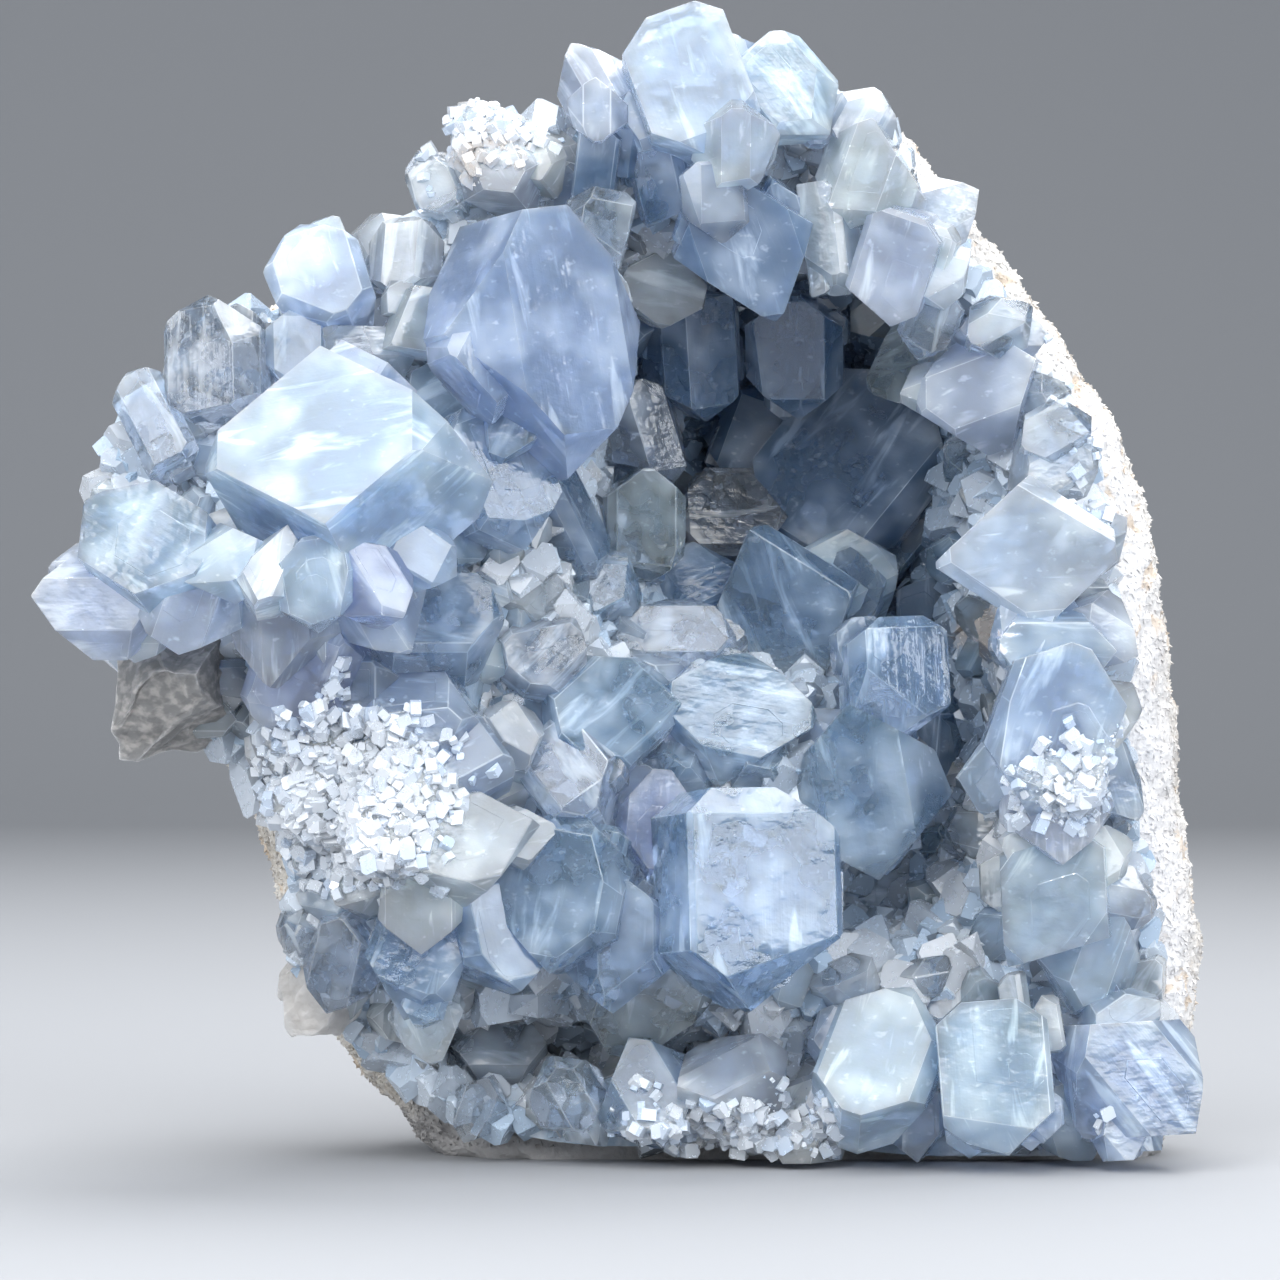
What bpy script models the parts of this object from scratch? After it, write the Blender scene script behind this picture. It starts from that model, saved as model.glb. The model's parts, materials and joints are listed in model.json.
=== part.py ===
"""A hand-sized piece of celestite geode, standing on a small ground flat with its hollow facing the front.

The rind is a lofted bowl of pale rock. The crystal crust is one solid: a thin bed that lines the bowl, with
celestine crystals grown from it. Each crystal is bounded by the mineral's own crystal faces.

X runs to the right, Y away from the viewer and Z up. Lengths are in millimetres until a mesh is made, with Y
measured from just in front of the rim. Each mesh is then moved, so that the model's origin is on the ground
flat, halfway through its depth.
"""

import math
import random

import bmesh
import bpy
from mathutils import Matrix, Vector, noise

MM = 0.001
# The depth of the model's origin, in the middle of the ground flat
FLAT_Y = 16.5

# Depths of the rock, measured away from the viewer: its back, its widest girth and the plane of its rim
BACK_Y = 42.0
EDGE_Y = 13.0
RIM_Y = 2.0
# The bed of crystal that lines the bowl, the gap behind it, and how far a steep wall may thicken it
CRUST_THICKNESS = 3.0
CLEARANCE = 0.4
MOST_STRETCH = 3.0
BED_INSET = 0.01
# The middle of the bowl, x and z, and the loops of the loft round it
BOWL_CENTRE = (4.0, 54.0)
SPOKES = 36
BOWL_RINGS = 8
SHOULDER_RINGS = 3
BACK_RINGS = 5
# The rock's lumpy outside: height and length of its large lumps, and the share of each for the small ones
LUMP_HEIGHT = 1.3
LUMP_LENGTH = 13.0
SMALL_LUMP_HEIGHT = 0.5
SMALL_LUMP_LENGTH = 0.43
# The rock rests on its ground flat at zero, and the crystals stop short of it
CRYSTAL_FLOOR = 0.6
GRINDER = 200.0
SLOPE_STEP = 0.5

# The rock's outline from the front, clockwise from the top: x, z and the bare rock outside the crystals
OUTLINE = (
    (6, 103, 1.0),
    (21, 101, 2.0),
    (32, 91, 5.0),
    (41, 79, 6.0),
    (47, 69, 6.0),
    (50, 57, 6.5),
    (52, 42, 7.5),
    (53, 27, 8.0),
    (54, 18, 8.0),
    (52, 5, 6.0),
    (45, -7, 9.5),
    (20, -9, 11.0),
    (-10, -8, 10.5),
    (-24, 4, 5.0),
    (-33, 16, 3.0),
    (-35, 26, 4.0),
    (-39, 37, 2.5),
    (-49, 50, 1.5),
    (-51, 65, 1.5),
    (-44, 76, 1.5),
    (-33, 82, 1.5),
    (-22, 90, 1.5),
    (-8, 99, 1.0),
)

# Where the crystal bed leaves the plane of the rim: x, z, half width, half height and depth. A negative
# depth stands out to the front.
SWELLS = (
    (-33, 57, 24, 17, -13),
    (-22, 32, 15, 15, -8),
    (5, 24, 15, 10, -7),
)
HOLLOWS = (
    (13, 68, 19, 21, 29),
    (27, 42, 8, 19, 17),
    (20, 24, 6, 5, 12),
    (-8, 11, 15, 4, 10),
)

# Celestine's unit cell, in angstroms, and the Miller indices of the faces that bound its crystals
CELL = (8.359, 5.352, 6.866)
FORMS = {
    "pinacoid": (0, 0, 1),
    "prism": (2, 1, 0),
    "long_dome": (0, 1, 1),
    "short_dome": (1, 0, 1),
    "side": (0, 1, 0),
}
# The distance of each form's faces from the middle of a crystal of size 1, and the way its free end points
HABITS = {
    "block": ({"pinacoid": 0.72, "prism": 0.92, "long_dome": 1.02, "short_dome": 1.05, "side": 0.86}, "a"),
    "kite": ({"pinacoid": 0.46, "prism": 0.74, "long_dome": 1.06, "short_dome": 0.84}, "b"),
    "rhomb": ({"pinacoid": 0.72, "prism": 0.70, "long_dome": 1.15}, "b"),
    "plank": ({"pinacoid": 0.44, "prism": 0.98, "long_dome": 0.58, "short_dome": 0.95, "side": 0.52}, "a"),
    "stub": ({"pinacoid": 0.78, "prism": 0.80, "long_dome": 0.84}, "a"),
}
# How much the distances vary, how much further the root's faces lie, and how far back a root's face looks
FACE_SPREAD = 0.13
ROOT_LENGTH = 1.2
ROOT_FACING = -0.3
CRYSTAL_SEED = 7

# Crystals: x, z, y, size, the way the broad face looks (degrees right and up of the viewer), the clock angle
# of the free end in degrees, and the habit
LEFT_CLUSTER = (
    (-26, 64, -19, 10.4, -18, 32, 79, "rhomb"),
    (-44, 57, -17, 6.4, -20, 30, 300, "block"),
    (-49, 53, -14, 5.5, -20, 0, 270, "stub"),
    (-41, 53, -18, 5.2, 0, -10, 200, "stub"),
    (-45, 70, -8, 5.0, -10, 25, 330, "plank"),
    (-39, 75, -6, 5.2, -20, 20, 350, "block"),
    (-30, 83, -4, 5.0, -10, 25, 340, "block"),
    (-32, 76, -6, 3.3, 10, 10, 180, "block"),
    (-25, 76, -6, 3.9, 20, 35, 90, "plank"),
    (-20, 79, -6, 4.3, 20, 10, 60, "kite"),
    (-22, 85, -2, 3.9, -10, 20, 0, "stub"),
    (-32, 51, -16, 5.2, 0, -20, 180, "stub"),
    (-24, 52, -15, 4.8, 10, -20, 150, "stub"),
    (-31, 46, -12, 5.3, -10, -10, 200, "block"),
    (-43, 45, -6, 6.1, -20, -30, 230, "stub"),
    (-20, 42, -12, 4.5, 0, 45, 90, "block"),
    (-25, 45, -12, 3.7, -10, 0, 0, "stub"),
)
LOWER_LEFT = (
    (-16, 31, -13, 5.9, 20, 10, 80, "kite"),
    (-29, 35, -9, 5.2, -20, 0, 230, "stub"),
    (-22, 34, -13, 5.6, 0, 10, 30, "stub"),
    (-32, 40, -8, 4.3, -20, 10, 300, "stub"),
    (-20, 26, -10, 5.2, 0, -10, 180, "stub"),
    (-24, 28, -8, 4.8, -20, 0, 200, "stub"),
    (-16, 38, -11, 4.3, 10, 30, 60, "block"),
    (-27, 20, -4, 4.3, -20, -20, 200, "stub"),
    (-20, 20, -8, 5.2, 0, 10, 200, "block"),
    (-13, 22, -8, 5.2, 20, 10, 170, "block"),
    (-30, 16, 0, 4.1, -20, -15, 220, "stub"),
    (-20, 14, -5, 3.9, 0, -10, 165, "kite"),
)
MIDDLE = (
    (-19, 50, -10, 5.7, 5, 35, 90, "block"),
    (-14, 64, -6, 5.9, 25, 10, 160, "block"),
    (-18, 72, -3, 3.9, 10, 20, 60, "block"),
    (-9, 76, -9, 10.6, 35, 5, 172, "kite"),
    (-12, 69, -10, 3.7, -10, 5, 200, "kite"),
    (-7, 60, 2, 5.2, 60, 20, 160, "plank"),
    (0, 60, 10, 4.8, 10, 0, 180, "block"),
    (-10, 53, -2, 3.5, 20, 30, 60, "stub"),
    (-4, 54, 4, 3.9, 0, 20, 100, "block"),
    (-9, 48, -4, 3.9, 15, 25, 45, "block"),
    (-3, 42, -3, 5.9, 20, 30, 50, "block"),
    (-7, 37, -6, 5.2, -20, 35, 320, "block"),
    (-12, 40, -7, 3.3, 0, 30, 330, "stub"),
    (4, 42, 0, 4.1, 10, 0, 190, "kite"),
    (9, 42, 1, 6.3, 20, 20, 100, "kite"),
    (4, 48, 6, 5.2, 0, 30, 90, "stub"),
    (1, 32, -6, 4.3, 10, 10, 185, "kite"),
    (9, 25, -10, 8.8, 20, 5, 180, "block"),
    (-7, 26, -8, 6.4, -10, 15, 190, "block"),
    (-2, 21, -6, 5.6, 0, -5, 180, "stub"),
    (0, 17, -3, 6.4, 5, -35, 190, "kite"),
)
FLOOR = (
    (21, 35, 3, 7.8, 0, 0, 170, "stub"),
    (24, 45, 3, 5.3, 10, 5, 178, "block"),
    (15, 52, 14, 7.4, 0, 20, 160, "kite"),
    (20, 55, 18, 5.2, 10, 30, 60, "block"),
    (28, 53, 22, 3.2, 0, 0, 0, "block"),
    (29, 40, 22, 6.9, -40, 0, 180, "block"),
    (32, 31, 8, 3.2, -20, 10, 270, "stub"),
    (24, 24, 18, 5.6, 0, 20, 90, "block"),
    (31, 22, 12, 4.8, -10, 10, 330, "stub"),
    (29, 17, 6, 4.8, -10, 30, 350, "stub"),
    (19, 15, 6, 3.5, 0, 35, 20, "block"),
    (21, 66, 26, 9.1, -15, 0, 220, "block"),
    (15, 77, 18, 5.2, -5, -10, 180, "block"),
    (5, 77, 16, 5.1, 30, -10, 170, "block"),
    (0, 69, 15, 4.8, 30, 0, 160, "stub"),
    (9, 61, 24, 5.2, 10, 20, 90, "block"),
    (27, 76, 13, 5.2, -30, -10, 250, "kite"),
    (12, 68, 28, 5.2, 0, 0, 200, "block"),
    (5, 54, 16, 4.3, 0, 30, 60, "block"),
)
TOP_RIM = (
    (5, 100, -3, 6.3, 0, 10, 160, "block"),
    (14, 100, -2, 4.8, 10, 10, 140, "block"),
    (5, 104, 4, 3.3, 0, 20, 350, "stub"),
    (-4, 101, 0, 4.1, -10, 20, 330, "stub"),
    (-4, 99, -4, 2.8, 0, 0, 0, "stub"),
    (9, 95, -6, 3.9, 0, -20, 180, "stub"),
    (-4, 93, -1, 4.1, -10, -15, 190, "plank"),
    (2, 93, 0, 5.2, -20, -10, 170, "plank"),
    (10, 86, -1, 6.4, 5, -15, 160, "kite"),
    (7, 90, -5, 3.3, 5, -5, 175, "block"),
    (-13, 94, -1, 5.0, -20, 20, 330, "stub"),
    (-19, 92, 2, 3.3, -20, 20, 330, "block"),
    (-4, 87, -3, 3.7, 10, 0, 190, "block"),
    (-3, 81, -4, 2.6, 0, 0, 180, "kite"),
    (2, 83, 8, 4.2, 20, -10, 100, "kite"),
    (-2, 76, -2, 3.0, 20, 0, 180, "plank"),
    (-14, 96, 2, 3.9, -30, 30, 320, "stub"),
    (-24, 87, 3, 3.5, -30, 30, 320, "stub"),
)
RIGHT_RIM = (
    (21, 92, -1, 5.0, -10, 0, 200, "stub"),
    (18, 87, -1, 4.5, -30, -5, 175, "plank"),
    (24, 84, -2, 4.8, -15, -10, 200, "block"),
    (21, 98, 2, 3.7, 10, 20, 30, "stub"),
    (28, 90, 3, 3.8, 10, 0, 60, "stub"),
    (32, 73, 3, 5.6, -10, 0, 250, "stub"),
    (34, 78, 3, 4.0, 10, 10, 90, "stub"),
    (36, 57, -4, 7.0, -5, 0, 265, "kite"),
    (39, 66, 1, 4.0, 15, 0, 60, "stub"),
    (39, 49, -3, 5.0, 5, 0, 90, "stub"),
    (38, 41, -6, 6.9, 0, 0, 200, "block"),
    (39, 34, -4, 5.3, 10, 0, 180, "stub"),
    (33, 37, -3, 3.5, -20, -20, 190, "block"),
    (36, 30, -5, 2.6, -10, 0, 190, "kite"),
    (38, 25, -4, 6.1, -10, 0, 215, "kite"),
    (42, 19, -1, 4.8, 10, 0, 200, "stub"),
    (35, 16, -2, 2.4, -30, 0, 350, "plank"),
    (38, 14, -4, 2.6, -10, 10, 350, "plank"),
)
BOTTOM_RIM = (
    (46, 8, -4, 6.6, 15, 5, 140, "stub"),
    (33, 8, -7, 6.3, -5, 10, 175, "block"),
    (22, 10, -5, 6.3, 0, 30, 20, "block"),
    (9, 8, -3, 5.2, 0, 30, 60, "stub"),
    (1, 7, -2, 4.8, 0, 20, 330, "stub"),
    (-7, 7, -1, 3.5, 0, 10, 330, "stub"),
    (-13, 10, 6, 4.3, 0, 20, 90, "stub"),
    (15, 4, -1, 4.3, 0, 10, 20, "stub"),
    (40, 4, 0, 3.9, 10, -10, 160, "stub"),
    (26, 4, -1, 3.5, 0, 0, 180, "stub"),
    (-15, 5, 2, 3.0, -10, 0, 200, "stub"),
    (5, 4, 1, 3.0, 0, 0, 200, "stub"),
)
CRYSTALS = LEFT_CLUSTER + LOWER_LEFT + MIDDLE + FLOOR + TOP_RIM + RIGHT_RIM + BOTTOM_RIM


def clear_scene():
    for obj in list(bpy.data.objects):
        bpy.data.objects.remove(obj)


def new_collection(name):
    made = bpy.data.collections.new(name)
    bpy.context.scene.collection.children.link(made)
    return made


def bed(x, z):
    """The depth of the crystal bed behind the plane of the rim."""
    depth = RIM_Y
    for cx, cz, half_x, half_z, amount in SWELLS:
        depth += amount * math.exp(-(((x - cx) / half_x) ** 2) - ((z - cz) / half_z) ** 2)
    for cx, cz, half_x, half_z, amount in HOLLOWS:
        reach = ((x - cx) / half_x) ** 2 + ((z - cz) / half_z) ** 2
        depth += amount * math.exp(-(reach**2))
    return depth


def stretch(x, z):
    """How much longer a step along Y is than the same step square to the bed."""
    slope_x = (bed(x + SLOPE_STEP, z) - bed(x - SLOPE_STEP, z)) / (2 * SLOPE_STEP)
    slope_z = (bed(x, z + SLOPE_STEP) - bed(x, z - SLOPE_STEP)) / (2 * SLOPE_STEP)
    return min(MOST_STRETCH, math.sqrt(1 + slope_x**2 + slope_z**2))


def outline_at(share):
    """The rock's outline and bare strip at a share of the way round, on a smooth closed curve."""
    place = share * len(OUTLINE)
    first = int(place)
    t = place - first
    p0, p1, p2, p3 = (Vector(OUTLINE[(first + k - 1) % len(OUTLINE)]) for k in range(4))
    bend = 2 * p0 - 5 * p1 + 4 * p2 - p3
    twist = 3 * p1 - p0 - 3 * p2 + p3
    return 0.5 * (2 * p1 + (p2 - p0) * t + bend * t**2 + twist * t**3)


def spoke(share):
    """The outline's point on this spoke, and the share of the spoke that the crystals cover."""
    x, z, bare = outline_at(share)
    length = math.hypot(x - BOWL_CENTRE[0], z - BOWL_CENTRE[1])
    return (x, z), 1 - bare / length


def on_spoke(end, along):
    return tuple(c + along * (e - c) for c, e in zip(BOWL_CENTRE, end))


def ring_mesh(name, rings):
    """A closed mesh through rings of points. The first and the last ring are single points."""
    bm = bmesh.new()
    made = [[bm.verts.new(p) for p in ring] for ring in rings]
    for inner, outer in zip(made, made[1:]):
        count = max(len(inner), len(outer))
        for k in range(count):
            corners = (inner[k % len(inner)], outer[k % len(outer)])
            corners += (outer[(k + 1) % len(outer)], inner[(k + 1) % len(inner)])
            bm.faces.new(dict.fromkeys(corners))
    bmesh.ops.triangulate(bm, faces=bm.faces)
    bmesh.ops.recalc_face_normals(bm, faces=bm.faces)
    mesh = bpy.data.meshes.new(name)
    bm.to_mesh(mesh)
    bm.free()
    return mesh


def lumps(point):
    """The rock's own lumpy surface, as a height."""
    near = Vector(point) / LUMP_LENGTH
    return LUMP_HEIGHT * (noise.noise(near) + SMALL_LUMP_HEIGHT * noise.noise(near / SMALL_LUMP_LENGTH))


def rock_rings():
    """The rind's rings from the middle of the bowl out over the rim and round the back."""
    spokes = [spoke(k / SPOKES) for k in range(SPOKES)]
    rings = [[(BOWL_CENTRE[0], bed(*BOWL_CENTRE) + CRUST_THICKNESS, BOWL_CENTRE[1])]]
    for step in range(1, BOWL_RINGS + 1):
        ring = []
        for end, cover in spokes:
            x, z = on_spoke(end, cover * step / BOWL_RINGS)
            ring.append((x, bed(x, z) + CRUST_THICKNESS * stretch(x, z), z))
        rings.append(ring)
    for step in range(1, SHOULDER_RINGS + 1):
        turn = math.pi / 2 * step / SHOULDER_RINGS
        ring = []
        for end, cover in spokes:
            x, z = on_spoke(end, cover)
            front = bed(x, z) + CRUST_THICKNESS * stretch(x, z)
            x, z = on_spoke(end, cover + (1 - cover) * math.sin(turn))
            ring.append((x, front + (EDGE_Y - front) * (1 - math.cos(turn)), z))
        rings.append(ring)
    for step in range(1, BACK_RINGS):
        along = math.cos(math.pi / 2 * step / BACK_RINGS)
        y = EDGE_Y + (BACK_Y - EDGE_Y) * math.sin(math.pi / 2 * step / BACK_RINGS)
        rings.append([(x, y, z) for x, z in (on_spoke(end, along) for end, _ in spokes)])
    rings.append([(BOWL_CENTRE[0], BACK_Y, BOWL_CENTRE[1])])
    return rings


def rock_mesh(name):
    """The rind before its base is cut, with lumps on its outside."""
    rings = rock_rings()
    middle = Vector((BOWL_CENTRE[0], EDGE_Y, BOWL_CENTRE[1]))
    for number, ring in enumerate(rings[BOWL_RINGS + 1 :], 1):
        strength = min(1.0, number / SHOULDER_RINGS)
        for k, point in enumerate(ring):
            outward = (Vector(point) - middle).normalized()
            ring[k] = tuple(Vector(point) + outward * strength * lumps(point))
    return ring_mesh(name, rings)


def bed_mesh(name):
    """The crust's bed. Its back lies inside the rock, which then trims it."""
    spokes = [spoke(k / SPOKES) for k in range(SPOKES)]
    x, z = BOWL_CENTRE
    front = [[(x, bed(x, z), z)]]
    back = [[(x, bed(x, z) + 2 * CRUST_THICKNESS, z)]]
    for step in range(1, BOWL_RINGS + 1):
        places = [on_spoke(end, (cover - BED_INSET) * step / BOWL_RINGS) for end, cover in spokes]
        front.append([(x, bed(x, z), z) for x, z in places])
        back.append([(x, bed(x, z) + 2 * CRUST_THICKNESS * stretch(x, z), z) for x, z in places])
    return ring_mesh(name, front + back[::-1])


def face_normals(indices):
    """Every face of a form, as unit normals: its Miller indices with all signs."""
    across = [index / edge for index, edge in zip(indices, CELL)]
    signs = [(1, -1) if value else (1,) for value in across]
    return [
        Vector((across[0] * a, across[1] * b, across[2] * c)).normalized()
        for a in signs[0]
        for b in signs[1]
        for c in signs[2]
    ]


def crystal_bmesh(habit, chance):
    """A crystal of size 1, cut from a cube. Its free end is along +X and its broad face along +Z."""
    distances, free_end = HABITS[habit]
    bm = bmesh.new()
    bmesh.ops.create_cube(bm, size=2 * ROOT_LENGTH)
    turn = Matrix.Rotation(math.radians(-90), 3, "Z") if free_end == "b" else Matrix.Identity(3)
    for form, distance in distances.items():
        for normal in face_normals(FORMS[form]):
            normal = turn @ normal
            root = ROOT_LENGTH if normal.x < ROOT_FACING else 1.0
            away = distance * root * (1 + FACE_SPREAD * chance.uniform(-1, 1))
            everything = bm.verts[:] + bm.edges[:] + bm.faces[:]
            cut = bmesh.ops.bisect_plane(
                bm, geom=everything, plane_co=normal * away, plane_no=normal, clear_outer=True
            )
            rim = [item for item in cut["geom_cut"] if isinstance(item, bmesh.types.BMEdge)]
            if rim:
                bmesh.ops.contextual_create(bm, geom=rim)
    bmesh.ops.recalc_face_normals(bm, faces=bm.faces)
    return bm


def placing(x, z, y, size, right, up, clock):
    """The matrix that sets a crystal of size 1 in its place."""
    az, el = math.radians(right), math.radians(up)
    broad = Vector((math.sin(az) * math.cos(el), -math.cos(az) * math.cos(el), math.sin(el)))
    upward = (Vector((0, 0, 1)) - broad * broad.z).normalized()
    rightward = upward.cross(broad)
    tip = upward * math.cos(math.radians(clock)) + rightward * math.sin(math.radians(clock))
    turned = Matrix((tip, broad.cross(tip), broad)).transposed().to_4x4()
    return Matrix.Translation((x, y, z)) @ turned @ Matrix.Diagonal((size, size, size, 1))


def add_object(collection, name, mesh, material=None):
    """An object of a mesh in millimetres, in the model's frame."""
    mesh.transform(Matrix.Diagonal((MM, MM, MM, 1)) @ Matrix.Translation((0, -FLAT_Y, 0)))
    obj = bpy.data.objects.new(name, mesh)
    collection.objects.link(obj)
    if material:
        mesh.materials.append(material)
    return obj


def as_helper(obj):
    """Marks an object that only cuts or joins another."""
    obj.hide_render = True
    obj.display_type = "WIRE"
    return obj


def add_boolean(obj, operation, other, solver="EXACT"):
    cut = obj.modifiers.new(operation.title(), "BOOLEAN")
    cut.operation = operation
    cut.solver = solver
    if isinstance(other, bpy.types.Collection):
        cut.operand_type = "COLLECTION"
        cut.collection = other
    else:
        cut.object = other


def material_of(name, colour, roughness, transmission=0.0):
    made = bpy.data.materials.new(name)
    made.use_nodes = True
    shader = made.node_tree.nodes["Principled BSDF"]
    shader.inputs["Base Color"].default_value = (*colour, 1)
    shader.inputs["Roughness"].default_value = roughness
    shader.inputs["Metallic"].default_value = 0.0
    shader.inputs["Transmission Weight"].default_value = transmission
    return made


def block_below(collection, name, height):
    """A cutter that fills everything below this height."""
    bm = bmesh.new()
    bmesh.ops.create_cube(bm, size=GRINDER)
    bmesh.ops.translate(bm, verts=bm.verts, vec=(0, 0, height - GRINDER / 2))
    mesh = bpy.data.meshes.new(name)
    bm.to_mesh(mesh)
    bm.free()
    return as_helper(add_object(collection, name, mesh))


def rock_room(collection):
    """The rock swollen by the clearance, as a cutter that trims the crust's back."""
    room = as_helper(add_object(collection, "rock_room", rock_mesh("rock_room")))
    swell = room.modifiers.new("Swell", "DISPLACE")
    swell.strength = CLEARANCE * MM
    swell.mid_level = 0.0
    return room


def keep_largest(obj):
    """Drops the chips that a cut leaves beside the main body."""
    graph = bpy.context.evaluated_depsgraph_get()
    mesh = bpy.data.meshes.new_from_object(obj.evaluated_get(graph))
    bm = bmesh.new()
    bm.from_mesh(mesh)
    left = set(bm.verts)
    bodies = []
    while left:
        body = set()
        front = [left.pop()]
        while front:
            vert = front.pop()
            body.add(vert)
            for edge in vert.link_edges:
                other = edge.other_vert(vert)
                if other in left:
                    left.remove(other)
                    front.append(other)
        bodies.append(body)
    largest = max(bodies, key=len)
    spare = [vert for vert in bm.verts if vert not in largest]
    bmesh.ops.delete(bm, geom=spare, context="VERTS")
    bm.to_mesh(mesh)
    bm.free()
    obj.modifiers.clear()
    obj.data = mesh


def make_rind(parts, cutters):
    material = material_of("pale limestone", (0.66, 0.63, 0.58), 0.9)
    rind = add_object(parts, "rind", rock_mesh("rind"), material)
    add_boolean(rind, "DIFFERENCE", block_below(cutters, "base_cut", 0.0))


def make_crust(parts, cutters, grown):
    material = material_of("celestite", (0.62, 0.76, 0.88), 0.12, transmission=0.8)
    crust = add_object(parts, "crystal_crust", bed_mesh("crystal_crust"), material)
    chance = random.Random(CRYSTAL_SEED)
    for number, (x, z, y, size, right, up, clock, habit) in enumerate(CRYSTALS):
        bm = crystal_bmesh(habit, chance)
        bm.transform(placing(x, z, y, size, right, up, clock))
        mesh = bpy.data.meshes.new(f"crystal_{number:03d}")
        bm.to_mesh(mesh)
        bm.free()
        as_helper(add_object(grown, f"crystal_{number:03d}", mesh))
    # The exact solver leaves this union of many crystals open
    add_boolean(crust, "UNION", grown, solver="MANIFOLD")
    add_boolean(crust, "DIFFERENCE", rock_room(cutters), solver="MANIFOLD")
    add_boolean(crust, "DIFFERENCE", block_below(cutters, "floor_cut", CRYSTAL_FLOOR), solver="MANIFOLD")
    keep_largest(crust)


def main():
    clear_scene()
    parts = new_collection("celestite_geode")
    cutters = new_collection("cutters")
    grown = new_collection("crystals")
    make_rind(parts, cutters)
    make_crust(parts, cutters, grown)


main()
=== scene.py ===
"""The looks of a hand-sized piece of celestite geode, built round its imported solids.

X runs to the right, Y away from the viewer and Z up. Shapes are worked out in millimetres, with Y measured from
just in front of the rim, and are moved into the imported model's frame, in metres, when they become objects.
"""

import json
import math
import random

import bmesh
import bpy
import numpy as np
from bpy.props import FloatProperty, FloatVectorProperty, IntProperty, PointerProperty
from mathutils import Matrix, Vector, noise

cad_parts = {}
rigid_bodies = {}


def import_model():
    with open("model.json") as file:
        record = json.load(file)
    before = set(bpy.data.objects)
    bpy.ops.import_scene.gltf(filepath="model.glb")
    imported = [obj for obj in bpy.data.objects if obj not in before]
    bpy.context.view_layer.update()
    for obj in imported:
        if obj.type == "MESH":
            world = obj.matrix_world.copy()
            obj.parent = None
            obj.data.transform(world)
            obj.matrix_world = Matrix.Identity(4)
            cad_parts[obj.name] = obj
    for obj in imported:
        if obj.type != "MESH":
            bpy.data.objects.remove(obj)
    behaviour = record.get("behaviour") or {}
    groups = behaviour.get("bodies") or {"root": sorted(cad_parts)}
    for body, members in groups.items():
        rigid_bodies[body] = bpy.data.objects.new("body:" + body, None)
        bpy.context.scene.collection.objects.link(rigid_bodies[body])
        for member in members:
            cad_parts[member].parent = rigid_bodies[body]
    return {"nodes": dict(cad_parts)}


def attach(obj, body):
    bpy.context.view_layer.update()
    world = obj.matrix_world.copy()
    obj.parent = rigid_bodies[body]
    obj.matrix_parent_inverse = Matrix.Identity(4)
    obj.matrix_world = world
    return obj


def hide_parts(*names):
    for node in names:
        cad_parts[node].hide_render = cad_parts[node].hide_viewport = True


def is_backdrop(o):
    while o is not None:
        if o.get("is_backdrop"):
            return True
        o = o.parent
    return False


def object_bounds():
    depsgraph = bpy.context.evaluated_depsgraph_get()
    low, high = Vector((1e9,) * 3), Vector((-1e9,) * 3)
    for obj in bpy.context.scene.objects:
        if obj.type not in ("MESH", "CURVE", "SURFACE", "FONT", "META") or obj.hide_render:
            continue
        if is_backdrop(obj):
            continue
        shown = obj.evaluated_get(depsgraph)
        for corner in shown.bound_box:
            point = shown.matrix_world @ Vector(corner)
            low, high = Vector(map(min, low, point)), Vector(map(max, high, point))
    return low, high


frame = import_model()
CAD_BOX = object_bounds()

bl_info = {
    "name": "Celestite Geode",
    "version": (1, 0, 0),
    "blender": (4, 5, 0),
    "location": "View3D > Sidebar > Geode",
    "description": "Rock, crystals, dust and light for a piece of celestite geode",
    "category": "Add Mesh",
}

MM = 0.001
# The depth of the model's origin, in the middle of the ground flat
FLAT_Y = 16.5

# The bed of crystal that lines the bowl of rock
RIM_Y = 2.0
BED_SINK = 0.7
BED_DEPTH = 5.0
BOWL_CENTRE = (4.0, 54.0)
BED_SPOKES = 220
BED_RINGS = 64
CRYSTAL_FLOOR = 0.6

# The rock's outline from the front, clockwise from the top: x, z and the bare rock outside the crystals
OUTLINE = (
    (6, 103, 1.0),
    (21, 101, 2.0),
    (32, 91, 5.0),
    (41, 79, 6.0),
    (47, 69, 6.0),
    (50, 57, 6.5),
    (52, 42, 7.5),
    (53, 27, 8.0),
    (54, 18, 8.0),
    (52, 5, 6.0),
    (45, -7, 9.5),
    (20, -9, 11.0),
    (-10, -8, 10.5),
    (-24, 4, 5.0),
    (-33, 16, 3.0),
    (-35, 26, 4.0),
    (-39, 37, 2.5),
    (-49, 50, 1.5),
    (-51, 65, 1.5),
    (-44, 76, 1.5),
    (-33, 82, 1.5),
    (-22, 90, 1.5),
    (-8, 99, 1.0),
)

# Where the crystal bed leaves the plane of the rim: x, z, half width, half height and depth. A negative
# depth stands out to the front.
SWELLS = (
    (-33, 57, 24, 17, -13),
    (-22, 32, 15, 15, -8),
    (5, 24, 15, 10, -7),
)
HOLLOWS = (
    (13, 68, 19, 21, 29),
    (27, 42, 8, 19, 17),
    (20, 24, 6, 5, 12),
    (-8, 11, 15, 4, 10),
)

# Celestine's unit cell, in angstroms, and the Miller indices of the faces that bound its crystals
CELL = (8.359, 5.352, 6.866)
FORMS = {
    "pinacoid": (0, 0, 1),
    "prism": (2, 1, 0),
    "long_dome": (0, 1, 1),
    "short_dome": (1, 0, 1),
    "side": (0, 1, 0),
}
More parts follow.
